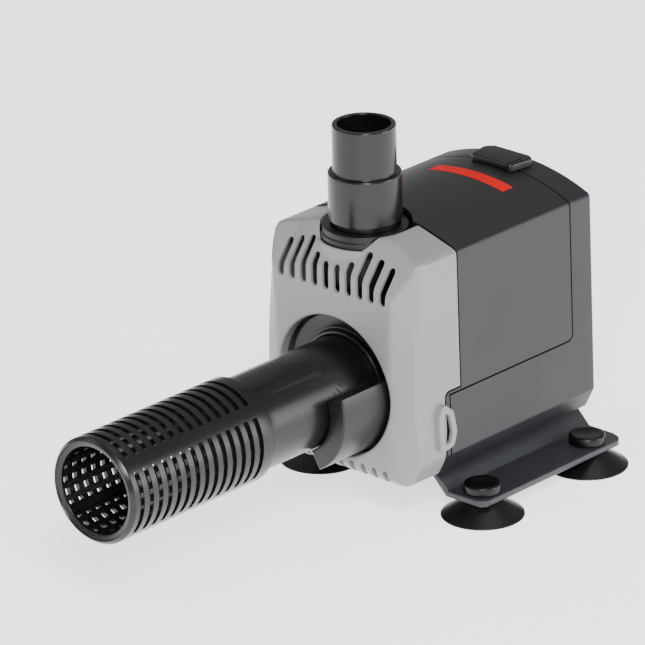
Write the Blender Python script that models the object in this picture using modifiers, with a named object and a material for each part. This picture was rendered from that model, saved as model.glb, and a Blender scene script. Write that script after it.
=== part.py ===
"""Submersible circulation pump with a slotted suction strainer and a stepped hose nozzle.

Frame while modelling: X to the right, Y to the back, Z up, metres.  The nozzle stands on
x = 0, y = 0 and the suction cups stand on z = 0.  One empty then carries the whole pump,
so that the middle of its length lies on the origin.
"""
import math

import bmesh
import bpy
from mathutils import Matrix, Vector

MM = 0.001

# ---- fits ----
GAP = 0.3 * MM                # between pieces that touch
SEAM = 0.6 * MM               # between the outer casings
MERGE = 0.02 * MM

# ---- motor casing ----
BODY_BOTTOM = 17.5 * MM       # underside
BODY_FOOT_HALF = 30.5 * MM    # half width of the underside
BODY_LOW = 25.5 * MM          # top of the lower chamfer
BODY_LOW_HALF = 34.6 * MM     # half width there
SHOULDER = 98.0 * MM          # where the side meets the arched crown
SHOULDER_HALF = 33.0 * MM
CROWN = 104.8 * MM            # top of the arch
BODY_REAR = 80.0 * MM
WALL = 2.0 * MM
SHOULDER_ROUND = 2.2 * MM
EDGE_ROUND = 1.2 * MM

# ---- seams between the casings ----
COVER_SEAM = 9.0 * MM         # rear edge of the cover above the step
STEP_TOP = 49.0 * MM          # height of the step in that edge
STEP_DEPTH = 8.0 * MM         # how far it steps forward
STEP_ROUND = 2.6 * MM
STRIP = 1.7 * MM              # thin strip of hood in front of the rear shell
SHELL_SEAM = 47.6 * MM        # level seam between hood and rear shell
REAR_SEAM = 68.0 * MM         # upright seam between them

# ---- pump axis and front cover ----
AXIS = 48.5 * MM              # height of the rotor, regulator and strainer
COVER_FRONT = -18.1 * MM
COVER_WALL = 2.6 * MM
COVER_BEND = 87.4 * MM        # where the front face bends back
COVER_SLOPE = 11.5 / 8.9      # rise over run of the face above the bend
COVER_FLAT_HALF = 15.3 * MM   # flat top of the cover beside the nozzle
COVER_FLAT = 103.4 * MM
COVER_ROUND = 1.3 * MM
FACET_SHARE = 0.7             # of the front wall's thickness that its corner facets take
MOUTH_RADIUS = 25.3 * MM      # round opening
MOUTH_RIM = 3.4 * MM          # depth of its rim behind the front wall
COLLAR_WALL = 1.0 * MM        # half-round collar around the outlet
COLLAR_TOP = 98.6 * MM

# ---- vents ----
VENT_COUNT = 10
VENT_PITCH = 5.15 * MM
VENT_WIDTH = 2.4 * MM
VENT_LOW = 84.3 * MM
VENT_TALL_RUN = 8.1 * MM      # how far the vent next to the collar runs back over the bend
VENT_SHORT_RUN = 3.5 * MM     # the same for the two vents in the middle
VENT_FALL = 0.85 * MM         # each vent further out is shorter by this
VENT_RISE = 1.2 * MM          # the vents beside the middle pair are longer by this
LOWER_VENT = 5.6 * MM         # height of the vents in the foot of the front face

# ---- finger loops on the sides of the cover ----
CLIP_LOW = 28.0 * MM
CLIP_HIGH = 46.2 * MM
CLIP_FRONT = -4.3 * MM
CLIP_REACH = 4.0 * MM         # how far the loop reaches back past the step in the cover
CLIP_WALL = 2.4 * MM          # width of the loop's rim
CLIP_THICKNESS = 1.4 * MM
CLIP_ROUND = 1.6 * MM

# ---- outlet ----
NOZZLE_TOP = 139.0 * MM
NOZZLE_STEP = 122.0 * MM
NOZZLE_FOOT = 105.0 * MM
NOZZLE_UPPER = 11.0 * MM      # radius, for 22 mm hose
NOZZLE_LOWER = 12.7 * MM      # radius, for 25.4 mm hose
NOZZLE_BORE = 9.2 * MM
SPIGOT_RADIUS = 11.6 * MM
SPIGOT_END = 86.5 * MM
GROOVE_LIFT = 5.5 * MM        # of the seal's groove above the spigot's end
GROOVE_WIDTH = 2.4 * MM
GROOVE_DEPTH = 1.3 * MM
RING_SECTION = 0.75 * MM      # radius of the seal's round section
SOCKET_RIM = 14.85 * MM
SOCKET_SKIRT = 15.4 * MM
SOCKET_TOP = 103.0 * MM
SOCKET_WALL = 1.9 * MM
SPIGOT_GAP = 0.45 * MM        # of the nozzle's spigot in its socket

# ---- suction strainer ----
STRAINER_RADIUS = 18.65 * MM
STRAINER_BORE = 16.9 * MM
STRAINER_MOUTH = -135.5 * MM
STRAINER_SHOULDER = -67.0 * MM
SLEEVE_RADIUS = 16.8 * MM
SLEEVE_BORE = 14.9 * MM
SLEEVE_END = -10.8 * MM
SLOT_ROWS = 14
SLOT_PITCH = 4.41 * MM
SLOT_WIDTH = 2.0 * MM
LAST_SLOT = -73.7 * MM
SLOTS_AROUND = 4
BAR_ANGLE = math.radians(15)
BAR_START = math.radians(48.5)
STRAINER_RIBS = 8            # along the bore, so that each slot is a row of small windows
RIB_HEIGHT = 1.3 * MM
RIB_WIDTH = 1.0 * MM

# ---- regulator ----
REGULATOR_RADIUS = 24.6 * MM
REGULATOR_BACK = -8.7 * MM
DISH_DEPTH = 4.0 * MM
WING_FRONT = -39.0 * MM
WING_START = math.radians(72)
WING_SWEEP = math.radians(78)
SLEEVE_SEAT = 1.2 * MM        # wall of the regulator's sleeve seat

# ---- pump chamber, motor well, rotor ----
CHAMBER_RADIUS = 26.0 * MM
CHAMBER_FRONT = -8.1 * MM
CHAMBER_BACK = 17.0 * MM      # clear of the outlet tube, so that the seal passes behind it
CHAMBER_WALL = 3.0 * MM
INLET_RADIUS = 11.0 * MM
INLET_WALL = 3.0 * MM
INLET_STUB = 2.4 * MM         # how far the inlet's rim stands in front of the chamber
SPOKE_WIDTH = 2.0 * MM
SEAL_RADIUS = 1.1 * MM
PLATE_THICKNESS = 2.2 * MM
WELL_RADIUS = 15.0 * MM
WELL_WALL = 1.4 * MM
WELL_END = 57.0 * MM
SHAFT_RADIUS = 2.0 * MM
BUSH_RADIUS = 4.2 * MM
MAGNET_RADIUS = 12.6 * MM
IMPELLER_RADIUS = 20.0 * MM
IMPELLER_HUB = 5.6 * MM
BLADES = 7
BLADE_WIDTH = 1.4 * MM
BLADE_LEAN = math.radians(42)

# ---- stator ----
CORE_HALF = 22.0 * MM
CORE_FOOT = 34.5 * MM
CORE_FRONT = 28.0 * MM
CORE_DEPTH = 20.0 * MM
LEG_WIDTH = 10.5 * MM
COIL_WALL = 7.0 * MM
COIL_HEIGHT = 14.0 * MM
CHEEK = 1.5 * MM              # thickness of a bobbin's end cheeks
CHEEK_STEP = 1.2 * MM         # how far they stand out past the winding
RESIN_COVER = 1.0 * MM        # of resin over the well

# ---- base plate and suction cups ----
PLATE_FRONT = 8.0 * MM
PLATE_REAR = 83.8 * MM
PLATE_HALF = 45.0 * MM
WING_TOP = 8.5 * MM
WING_THICKNESS = 2.3 * MM
WING_INNER = 28.7 * MM        # foot of the slope
PLATE_CORNER = 5.0 * MM
PLATE_CHAMFER = 6.5 * MM      # width of the cut rear corners
CUP_X = 37.7 * MM
CUP_FRONT = 15.8 * MM
CUP_SPACING = 55.7 * MM
CUP_RADIUS = 14.6 * MM
CUP_NECK = 5.0 * MM
CUP_BEAD = 1.2 * MM           # width of the rim that rests on the floor
CUP_HOLLOW = 2.9 * MM         # height of the hollow under the cup
BUTTON_RADIUS = 6.5 * MM
BUTTON_TOP = 12.0 * MM
BUTTON_POCKET = 1.8 * MM      # room around a button in the slope

# ---- latch and gland ----
LATCH_WIDTH = 19.0 * MM
LATCH_FRONT = 64.0 * MM
LATCH_DEPTH = 12.5 * MM
LATCH_THICKNESS = 2.2 * MM
GLAND_HEIGHT = 84.0 * MM
GLAND_RADIUS = 5.5 * MM
GLAND_BORE = 3.4 * MM

FORWARD = (math.radians(90), 0.0, 0.0)      # local Z points to the front


# ---- scene helpers ----
def clear_scene():
    for old in list(bpy.data.objects):
        bpy.data.objects.remove(old, do_unlink=True)


def new_collection(name):
    group = bpy.data.collections.new(name)
    bpy.context.scene.collection.children.link(group)
    return group


def material(name, colour, roughness, metallic=0.0):
    finish = bpy.data.materials.new(name)
    finish.use_nodes = True
    shader = finish.node_tree.nodes["Principled BSDF"]
    shader.inputs["Base Color"].default_value = (*colour, 1.0)
    shader.inputs["Roughness"].default_value = roughness
    shader.inputs["Metallic"].default_value = metallic
    finish.diffuse_color = (*colour, 1.0)
    return finish


def add_object(name, mesh, group, finish=None, location=(0, 0, 0), rotation=(0, 0, 0)):
    item = bpy.data.objects.new(name, mesh)
    group.objects.link(item)
    item.location = location
    item.rotation_euler = rotation
    item.parent = PUMP
    if finish:
        mesh.materials.append(finish)
    if group is CUTTERS:
        item.hide_render = True
        item.display_type = 'WIRE'
    return item


def mesh_from(bm, name):
    bmesh.ops.recalc_face_normals(bm, faces=bm.faces)
    mesh = bpy.data.meshes.new(name)
    bm.to_mesh(mesh)
    bm.free()
    return mesh


def prism(outline, low, high, axis='Y'):
    """Straight solid on a closed outline.

    The outline's two numbers are (x, z) for axis Y, (x, y) for Z and (y, z) for X.
    """
    places = {
        'X': lambda a, b, c: (c, a, b),
        'Y': lambda a, b, c: (a, c, b),
        'Z': lambda a, b, c: (a, b, c),
    }
    place = places[axis]
    bm = bmesh.new()
    ends = []
    for level in (low, high):
        ends.append([bm.verts.new(place(a, b, level)) for a, b in outline])
    bm.faces.new(ends[0])
    bm.faces.new(ends[1])
    count = len(outline)
    for i in range(count):
        j = (i + 1) % count
        bm.faces.new((ends[0][i], ends[0][j], ends[1][j], ends[1][i]))
    return bm


def box(centre, size):
    bm = bmesh.new()
    bmesh.ops.create_cube(bm, size=1.0)
    bmesh.ops.scale(bm, vec=size, verts=bm.verts)
    bmesh.ops.translate(bm, vec=centre, verts=bm.verts)
    return bm


def rod(radius, low, high, steps=32, centre=(0, 0)):
    """Upright solid cylinder between two heights."""
    bm = bmesh.new()
    place = Matrix.Translation((centre[0], centre[1], (low + high) / 2))
    bmesh.ops.create_cone(bm, cap_ends=True, segments=steps, radius1=radius, radius2=radius,
                          depth=high - low, matrix=place)
    return bm


def turned(name, profile, group, finish=None, location=(0, 0, 0), rotation=(0, 0, 0), steps=40):
    """Solid of revolution about local Z.

    The profile runs down its outer side.  One that starts and ends on the axis stays open there.
    """
    bm = bmesh.new()
    verts = [bm.verts.new((radius, 0, height)) for radius, height in profile]
    for before, after in zip(verts, verts[1:]):
        bm.edges.new((before, after))
    if profile[0][0] > 0:
        bm.edges.new((verts[-1], verts[0]))
    mesh = bpy.data.meshes.new(name)
    bm.to_mesh(mesh)
    bm.free()
    item = add_object(name, mesh, group, finish, location, rotation)
    screw = item.modifiers.new("Turn", 'SCREW')
    screw.axis = 'Z'
    screw.steps = screw.render_steps = steps
    screw.use_merge_vertices = True
    screw.merge_threshold = MERGE
    screw.use_smooth_shade = True
    return item


def boolean(item, tool, operation='DIFFERENCE'):
    cut = item.modifiers.new(operation.title(), 'BOOLEAN')
    cut.operation = operation
    cut.solver = 'EXACT'
    cut.object = tool
    return cut


def bevel(item, width, segments=2, angle=30):
    edge = item.modifiers.new("Edge", 'BEVEL')
    edge.width = width
    edge.segments = segments
    edge.limit_method = 'ANGLE'
    edge.angle_limit = math.radians(angle)
    return edge


def cutter(name, bm, location=(0, 0, 0), rotation=(0, 0, 0)):
    return add_object(name, mesh_from(bm, name), CUTTERS, None, location, rotation)


def piece(name, bm, finish, location=(0, 0, 0), rotation=(0, 0, 0)):
    return add_object(name, mesh_from(bm, name), PARTS, finish, location, rotation)


def join(*meshes):
    """One bmesh holding several separate solids, for cutters that repeat."""
    whole = bmesh.new()
    for bm in meshes:
        part = bpy.data.meshes.new("part")
        bmesh.ops.recalc_face_normals(bm, faces=bm.faces)
        bm.to_mesh(part)
        bm.free()
        whole.from_mesh(part)
        bpy.data.meshes.remove(part)
    return whole


# ---- outline helpers ----
def arc(centre, radius, start, end, steps):
    """Points on a circle, angles measured from +first axis towards +second axis."""
    points = []
    for i in range(steps + 1):
        angle = start + (end - start) * i / steps
        points.append((centre[0] + radius * math.cos(angle), centre[1] + radius * math.sin(angle)))
    return points


def offset(outline, distance):
    """Closed outline moved inward by a distance; outlines run anticlockwise."""
    moved = []
    count = len(outline)
    for i in range(count):
        before = Vector(outline[i - 1])
        here = Vector(outline[i])
        after = Vector(outline[(i + 1) % count])
        first = (here - before).normalized()
        second = (after - here).normalized()
        normal_a = Vector((-first.y, first.x))
        normal_b = Vector((-second.y, second.x))
        middle = (normal_a + normal_b).normalized()
        moved.append(tuple(here + middle * (distance / max(0.2, middle.dot(normal_a)))))
    return moved


def rounded(outline, radius, steps=3, minimum=25):
    """Closed outline with its corners sharper than the minimum angle rounded by arcs."""
    result = []
    count = len(outline)
    for i in range(count):
        here = Vector(outline[i])
        inward = (Vector(outline[i - 1]) - here)
        outward = (Vector(outline[(i + 1) % count]) - here)
        turn = math.pi - inward.angle(outward)
        if turn < math.radians(minimum):
            result.append(tuple(here))
            continue
        reach = min(radius * math.tan(turn / 2), 0.45 * inward.length, 0.45 * outward.length)
        start = here + inward.normalized() * reach
        end = here + outward.normalized() * reach
        for k in range(steps + 1):
            t = k / steps
            blend = start * (1 - t) ** 2 + here * (2 * t * (1 - t)) + end * t ** 2
            result.append(tuple(blend))
    return result


# ---- shapes that several pieces share ----
def crown_height(x):
    """Height of the arched crown at a distance from the middle."""
    rise = CROWN - SHOULDER
    radius = (SHOULDER_HALF ** 2 + rise ** 2) / (2 * rise)
    return CROWN - radius + math.sqrt(radius ** 2 - x ** 2)


def body_outline(inset=0.0, crown_steps=10):
    """Cross-section of the motor casing, (x, z), anticlockwise seen from the front."""
    crown = []
    for i in range(crown_steps + 1):
        x = SHOULDER_HALF * (1 - 2 * i / crown_steps)
        crown.append((x, crown_height(x)))
    outline = [(-BODY_FOOT_HALF, BODY_BOTTOM), (BODY_FOOT_HALF, BODY_BOTTOM),
               (BODY_LOW_HALF, BODY_LOW)]
    outline += crown
    outline.append((-BODY_LOW_HALF, BODY_LOW))
    return rounded(offset(outline, inset) if inset else outline, SHOULDER_ROUND)


def hood_region(gap):
    """Side outline (y, z) of what belongs to the hood, moved inward by a gap."""
    strip_front = COVER_SEAM - STEP_DEPTH
    strip_back = strip_front + STRIP
    below = BODY_BOTTOM - 5 * MM
    above = CROWN + 5 * MM
    front = COVER_SEAM + gap
    outline = [(strip_front + gap, below), (strip_back + gap, below), (strip_back + gap, SHELL_SEAM)]
    outline += arc((REAR_SEAM - STEP_ROUND, SHELL_SEAM + STEP_ROUND), STEP_ROUND, -math.pi / 2, 0, 4)
    outline += [(REAR_SEAM, above), (front, above), (front, STEP_TOP - gap)]
    corner = (strip_front + gap + STEP_ROUND, STEP_TOP - gap - STEP_ROUND)
    outline += arc(corner, STEP_ROUND, math.pi / 2, math.pi, 4)
    return outline


def shell_region(gap):
    """Side outline (y, z) of what belongs to the rear shell."""
    front = COVER_SEAM - STEP_DEPTH + STRIP + 2 * gap
    below = BODY_BOTTOM - 5 * MM
    above = CROWN + 5 * MM
    back = BODY_REAR + 5 * MM
    radius = STEP_ROUND + gap
    outline = [(front, below), (back, below), (back, above), (REAR_SEAM + gap, above)]
    outline += arc((REAR_SEAM - STEP_ROUND, SHELL_SEAM + STEP_ROUND), radius, 0, -math.pi / 2, 4)
    outline.append((front, SHELL_SEAM - gap))
    return outline


def casing_solid(name):
    """Outer form of the motor casing, its rear edges rounded."""
    front = COVER_SEAM - STEP_DEPTH - 2 * MM
    item = piece(name, prism(body_outline(), front, BODY_REAR), HOOD_BLACK)
    bevel(item, EDGE_ROUND, 2, 50)
    return item


def cut_region(item, outline, name):
    half = BODY_LOW_HALF + 5 * MM
    boolean(item, cutter(name, prism(outline, -half, half, 'X')), 'INTERSECT')


def annulus_sector(inner, outer, start, sweep, low, high, steps):
    """Solid sector of a ring, in the local frame of forward pieces: angle from up towards +X."""
    first = math.pi / 2 - start
    outside = arc((0, 0), outer, first, first - sweep, steps)
    inside = arc((0, 0), inner, first - sweep, first, steps)
    return prism(outside + inside, low, high, 'Z')


# ---- front cover ----
def cover_levels():
    """Plan corners of the cover at rising heights: front half width, side half width, side start."""
    return [
        (BODY_BOTTOM, 25.5 * MM, BODY_FOOT_HALF, -13.0 * MM),
        (BODY_LOW, 26.6 * MM, BODY_LOW_HALF, -12.6 * MM),
        (55.0 * MM, 25.6 * MM, 33.9 * MM, -13.8 * MM),
        (73.0 * MM, 26.2 * MM, 33.5 * MM, -12.6 * MM),
        (COVER_BEND, 27.8 * MM, 33.2 * MM, -10.9 * MM),
        (SHOULDER, 29.0 * MM, SHOULDER_HALF, -9.6 * MM),
        (CROWN + 2 * MM, 29.8 * MM, 32.8 * MM, -8.7 * MM),
    ]


def cover_hull(inset, front_inset, rear):
    """Faceted outer form of the cover, or its hollow when inset."""
    bm = bmesh.new()
    rings = []
    for height, front_half, side_half, side_start in cover_levels():
        front = COVER_FRONT + front_inset
        half = [(front_half - inset, front), (side_half - inset, side_start + front_inset * FACET_SHARE),
                (side_half - inset, rear)]
        plan = half + [(-x, y) for x, y in reversed(half)]
        rings.append([bm.verts.new((x, y, height)) for x, y in plan])
    for low, high in zip(rings, rings[1:]):
        for i in range(len(low)):
            j = (i + 1) % len(low)
            bm.faces.new((low[i], low[j], high[j], high[i]))
    bm.faces.new(rings[0])
    bm.faces.new(rings[-1])
    bmesh.ops.recalc_face_normals(bm, faces=bm.faces)
    trim(bm, (0, COVER_FRONT, COVER_BEND), (0, -COVER_SLOPE, 1), inset)
    trim(bm, (0, 0, COVER_FLAT), (0, 0, 1), inset)
    drop = COVER_FLAT - SHOULDER
    for side in (1, -1):
        edge = (side * COVER_FLAT_HALF, 0, COVER_FLAT)
        trim(bm, edge, (side * drop, 0, SHOULDER_HALF - COVER_FLAT_HALF), inset)
    if inset:
        trim(bm, (0, 0, BODY_BOTTOM), (0, 0, -1), inset)
    return bm


def trim(bm, point, normal, inset):
    """Cut a solid with a plane, drop what is outside and close the cut."""
    normal = Vector(normal).normalized()
    bmesh.ops.bisect_plane(bm, geom=bm.verts[:] + bm.edges[:] + bm.faces[:], dist=1e-7,
                           plane_co=Vector(point) - normal * inset, plane_no=normal, clear_outer=True)
    rim = [edge for edge in bm.edges if edge.is_boundary]
    if rim:
        bmesh.ops.holes_fill(bm, edges=rim)


def vent(x, run):
    """Round-ended slot that follows the bend, cut straight back from the front."""
    radius = VENT_WIDTH / 2
    rise = run * COVER_SLOPE
    low = arc((x, VENT_LOW + radius), radius, math.pi, 2 * math.pi, 3)
    high = arc((x, COVER_BEND + rise - radius), radius, 0, math.pi, 3)
    return prism(low + high, COVER_FRONT - 2 * MM, COVER_FRONT + run + 9 * MM)


def lower_vent(x):
    """Slot in the foot of the front face, open at the bottom."""
    radius = VENT_WIDTH / 2
    low = BODY_BOTTOM - 2 * MM
    high = arc((x, BODY_BOTTOM + LOWER_VENT - radius), radius, 0, math.pi, 3)
    depth = 2 * COVER_WALL
    return prism([(x - radius, low), (x + radius, low)] + high, COVER_FRONT - 2 * MM, COVER_FRONT + depth)


def vent_places():
    """Middle of each vent across the face, and its distance from the middle in pitches."""
    middle = (VENT_COUNT - 1) / 2
    return [((i - middle) * VENT_PITCH, abs(i - middle)) for i in range(VENT_COUNT)]


def vent_run(from_middle):
    """The vents in front of the collar are short, and the others fall off towards the sides."""
    if from_middle > 2:
        return VENT_TALL_RUN - VENT_FALL * (from_middle - 2.5)
    return VENT_SHORT_RUN + VENT_RISE * (from_middle - 0.5)


def clip_outline(inset):
    """Finger loop seen from the side, (y, z): a leaning D, moved inward by an inset."""
    back = COVER_SEAM - STEP_DEPTH + CLIP_REACH
    height = CLIP_HIGH - CLIP_LOW
    outline = [(CLIP_FRONT + 0.8 * MM, CLIP_LOW), (back - 1.6 * MM, CLIP_LOW + 0.06 * height),
               (back, CLIP_LOW + 0.35 * height), (back - 1.8 * MM, CLIP_LOW + 0.78 * height),
               (CLIP_FRONT + 2.6 * MM, CLIP_HIGH), (CLIP_FRONT, CLIP_LOW + 0.75 * height)]
    return rounded(offset(outline, inset) if inset else outline, CLIP_ROUND, 2)


def both_sides(outline, near, far):
    """Two straight solids on one side outline, mirrored about the middle."""
    return join(prism(outline, near, far, 'X'), prism(outline, -far, -near, 'X'))


def front_cover():
    cover = piece("front_cover", cover_hull(0.0, 0.0, COVER_SEAM), COVER_GREY)
    bevel(cover, COVER_ROUND, 2, 17)
    boolean(cover, cutter("cover_hollow", cover_hull(COVER_WALL, COVER_WALL, COVER_SEAM + 5 * MM)))
    rim = turned("mouth_rim", [(MOUTH_RADIUS + 2 * MM, MOUTH_RIM), (MOUTH_RADIUS + 2 * MM, 0.0),
                               (MOUTH_RADIUS - 1 * MM, 0.0), (MOUTH_RADIUS - 1 * MM, MOUTH_RIM)],
                 CUTTERS, None, (0, COVER_FRONT + MOUTH_RIM + 0.5 * MM, AXIS), FORWARD, 40)
    boolean(cover, rim, 'UNION')
    collar = rod(SOCKET_SKIRT + GAP + COLLAR_WALL, COVER_BEND + 1 * MM, COLLAR_TOP, 32)
    boolean(cover, cutter("collar", collar), 'UNION')
    mouth = rod(MOUTH_RADIUS, -20 * MM, 20 * MM, 36)
    boolean(cover, cutter("mouth", mouth, (0, COVER_FRONT, AXIS), FORWARD))
    notch = rod(SOCKET_SKIRT + GAP, COVER_BEND - 4 * MM, CROWN + 5 * MM, 32)
    boolean(cover, cutter("outlet_notch", notch))
    half = SOCKET_SKIRT + GAP
    open_back = box((0, 10 * MM, COVER_BEND + 10 * MM), (2 * half, 20 * MM, 30 * MM))
    boolean(cover, cutter("outlet_slide_way", open_back))
    vents = [vent(x, vent_run(from_middle)) for x, from_middle in vent_places()]
    vents += [lower_vent(x) for x, from_middle in vent_places()]
    boolean(cover, cutter("vents", join(*vents)))
    step_front = COVER_SEAM - STEP_DEPTH
    below = BODY_BOTTOM - 5 * MM
    step = [(COVER_SEAM + 1 * MM, below), (COVER_SEAM + 1 * MM, STEP_TOP)]
    step += arc((step_front + STEP_ROUND, STEP_TOP - STEP_ROUND), STEP_ROUND, math.pi / 2, math.pi, 4)
    step.append((step_front, below))
    half = BODY_LOW_HALF + GAP
    loops = both_sides(clip_outline(0.0), half - 2 * MM, half + CLIP_THICKNESS)
    boolean(cover, cutter("clip_loops", loops), 'UNION')
    windows = both_sides(clip_outline(CLIP_WALL), half - 0.1 * MM, half + 5 * MM)
    boolean(cover, cutter("clip_windows", windows))
    boolean(cover, cutter("cover_step", prism(step, -half, half, 'X')))
    return cover


# ---- motor casing ----
def motor_hood():
    hood = casing_solid("motor_hood")
    hollow = prism(body_outline(WALL), -20 * MM, REAR_SEAM + 20 * MM)
    boolean(hood, cutter("hood_hollow", hollow))
    cut_region(hood, hood_region(SEAM), "hood_region")
    notch = rod(SOCKET_SKIRT + 2 * GAP, SHOULDER - 12 * MM, CROWN + 5 * MM, 32)
    boolean(hood, cutter("hood_notch", notch))
    return hood


def rear_shell():
    shell = casing_solid("rear_shell")
    hollow = prism(body_outline(WALL), -20 * MM, BODY_REAR - WALL)
    boolean(shell, cutter("shell_hollow", hollow))
    cut_region(shell, shell_region(SEAM), "shell_region")
    hole = rod(GLAND_RADIUS + GAP, -20 * MM, 20 * MM, 24)
    boolean(shell, cutter("gland_hole", hole, (0, BODY_REAR, GLAND_HEIGHT), FORWARD))
    return shell


def top_latch():
    """Rounded trapezoid plate that sits over the seam in the crown, with a small side lug."""
    half = LATCH_WIDTH / 2
    back = LATCH_FRONT + LATCH_DEPTH
    outline = [(-half, LATCH_FRONT + 0.7 * MM), (half, LATCH_FRONT), (half + 1.2 * MM, back - 1.5 * MM),
               (half - 1.5 * MM, back), (-half + 1.5 * MM, back), (-half - 1.2 * MM, back - 3 * MM)]
    outline = rounded(outline, 2.5 * MM, 3)
    top = CROWN + GAP + LATCH_THICKNESS
    latch = piece("top_latch", prism(outline, SHOULDER, top, 'Z'), LATCH_BLACK)
    bevel(latch, 0.6 * MM, 2, 50)
    under = prism(offset(body_outline(0.0, 16), -GAP), LATCH_FRONT - 5 * MM, back + 5 * MM)
    boolean(latch, cutter("latch_bed", under))
    groove = box((half - 1.4 * MM, LATCH_FRONT + 2 * MM, top), (0.6 * MM, 12 * MM, 0.8 * MM))
    boolean(latch, cutter("latch_groove", groove))
    return latch


def cable_gland():
    """Moulded bush in the rear wall, bored for the lead."""
    flange = GLAND_RADIUS + 2.2 * MM
    outside = 3.6 * MM
    inside = -WALL - 3 * MM
    profile = [(GLAND_RADIUS - 1 * MM, outside), (GLAND_RADIUS, outside - 1.2 * MM), (flange, 1.6 * MM),
               (flange, GAP), (GLAND_RADIUS, GAP), (GLAND_RADIUS, inside), (GLAND_BORE, inside),
               (GLAND_BORE, outside)]
    back = (-math.radians(90), 0, 0)
    return turned("cable_gland", profile, PARTS, RUBBER, (0, BODY_REAR, GLAND_HEIGHT), back, 16)


# ---- outlet ----
def outlet_nozzle():
    chamfer = 0.5 * MM
    lip = 0.8 * MM
    low = SPIGOT_END + GROOVE_LIFT
    high = low + GROOVE_WIDTH
    floor = SPIGOT_RADIUS - GROOVE_DEPTH
    profile = [
        (NOZZLE_UPPER - chamfer, NOZZLE_TOP), (NOZZLE_UPPER, NOZZLE_TOP - chamfer),
        (NOZZLE_UPPER, NOZZLE_STEP), (NOZZLE_LOWER - lip, NOZZLE_STEP), (NOZZLE_LOWER, NOZZLE_STEP - lip),
        (NOZZLE_LOWER, NOZZLE_FOOT), (SPIGOT_RADIUS, NOZZLE_FOOT), (SPIGOT_RADIUS, high), (floor, high),
        (floor, low), (SPIGOT_RADIUS, low), (SPIGOT_RADIUS, SPIGOT_END), (NOZZLE_BORE, SPIGOT_END),
        (NOZZLE_BORE, NOZZLE_TOP)]
    return turned("outlet_nozzle", profile, PARTS, GLOSS_BLACK, steps=28)


def ring_seal(name, radius, thickness, location, rotation, steps):
    """O-ring of round section."""
    profile = list(reversed(arc((radius, 0), thickness, 0, 2 * math.pi, 6)[:-1]))
    return turned(name, profile, PARTS, RUBBER, location, rotation, steps)


def nozzle_o_ring():
    middle = SPIGOT_RADIUS - GROOVE_DEPTH + RING_SECTION + GAP / 2
    height = SPIGOT_END + GROOVE_LIFT + GROOVE_WIDTH / 2
    return ring_seal("nozzle_o_ring", middle, RING_SECTION, (0, 0, height), (0, 0, 0), 20)


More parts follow.
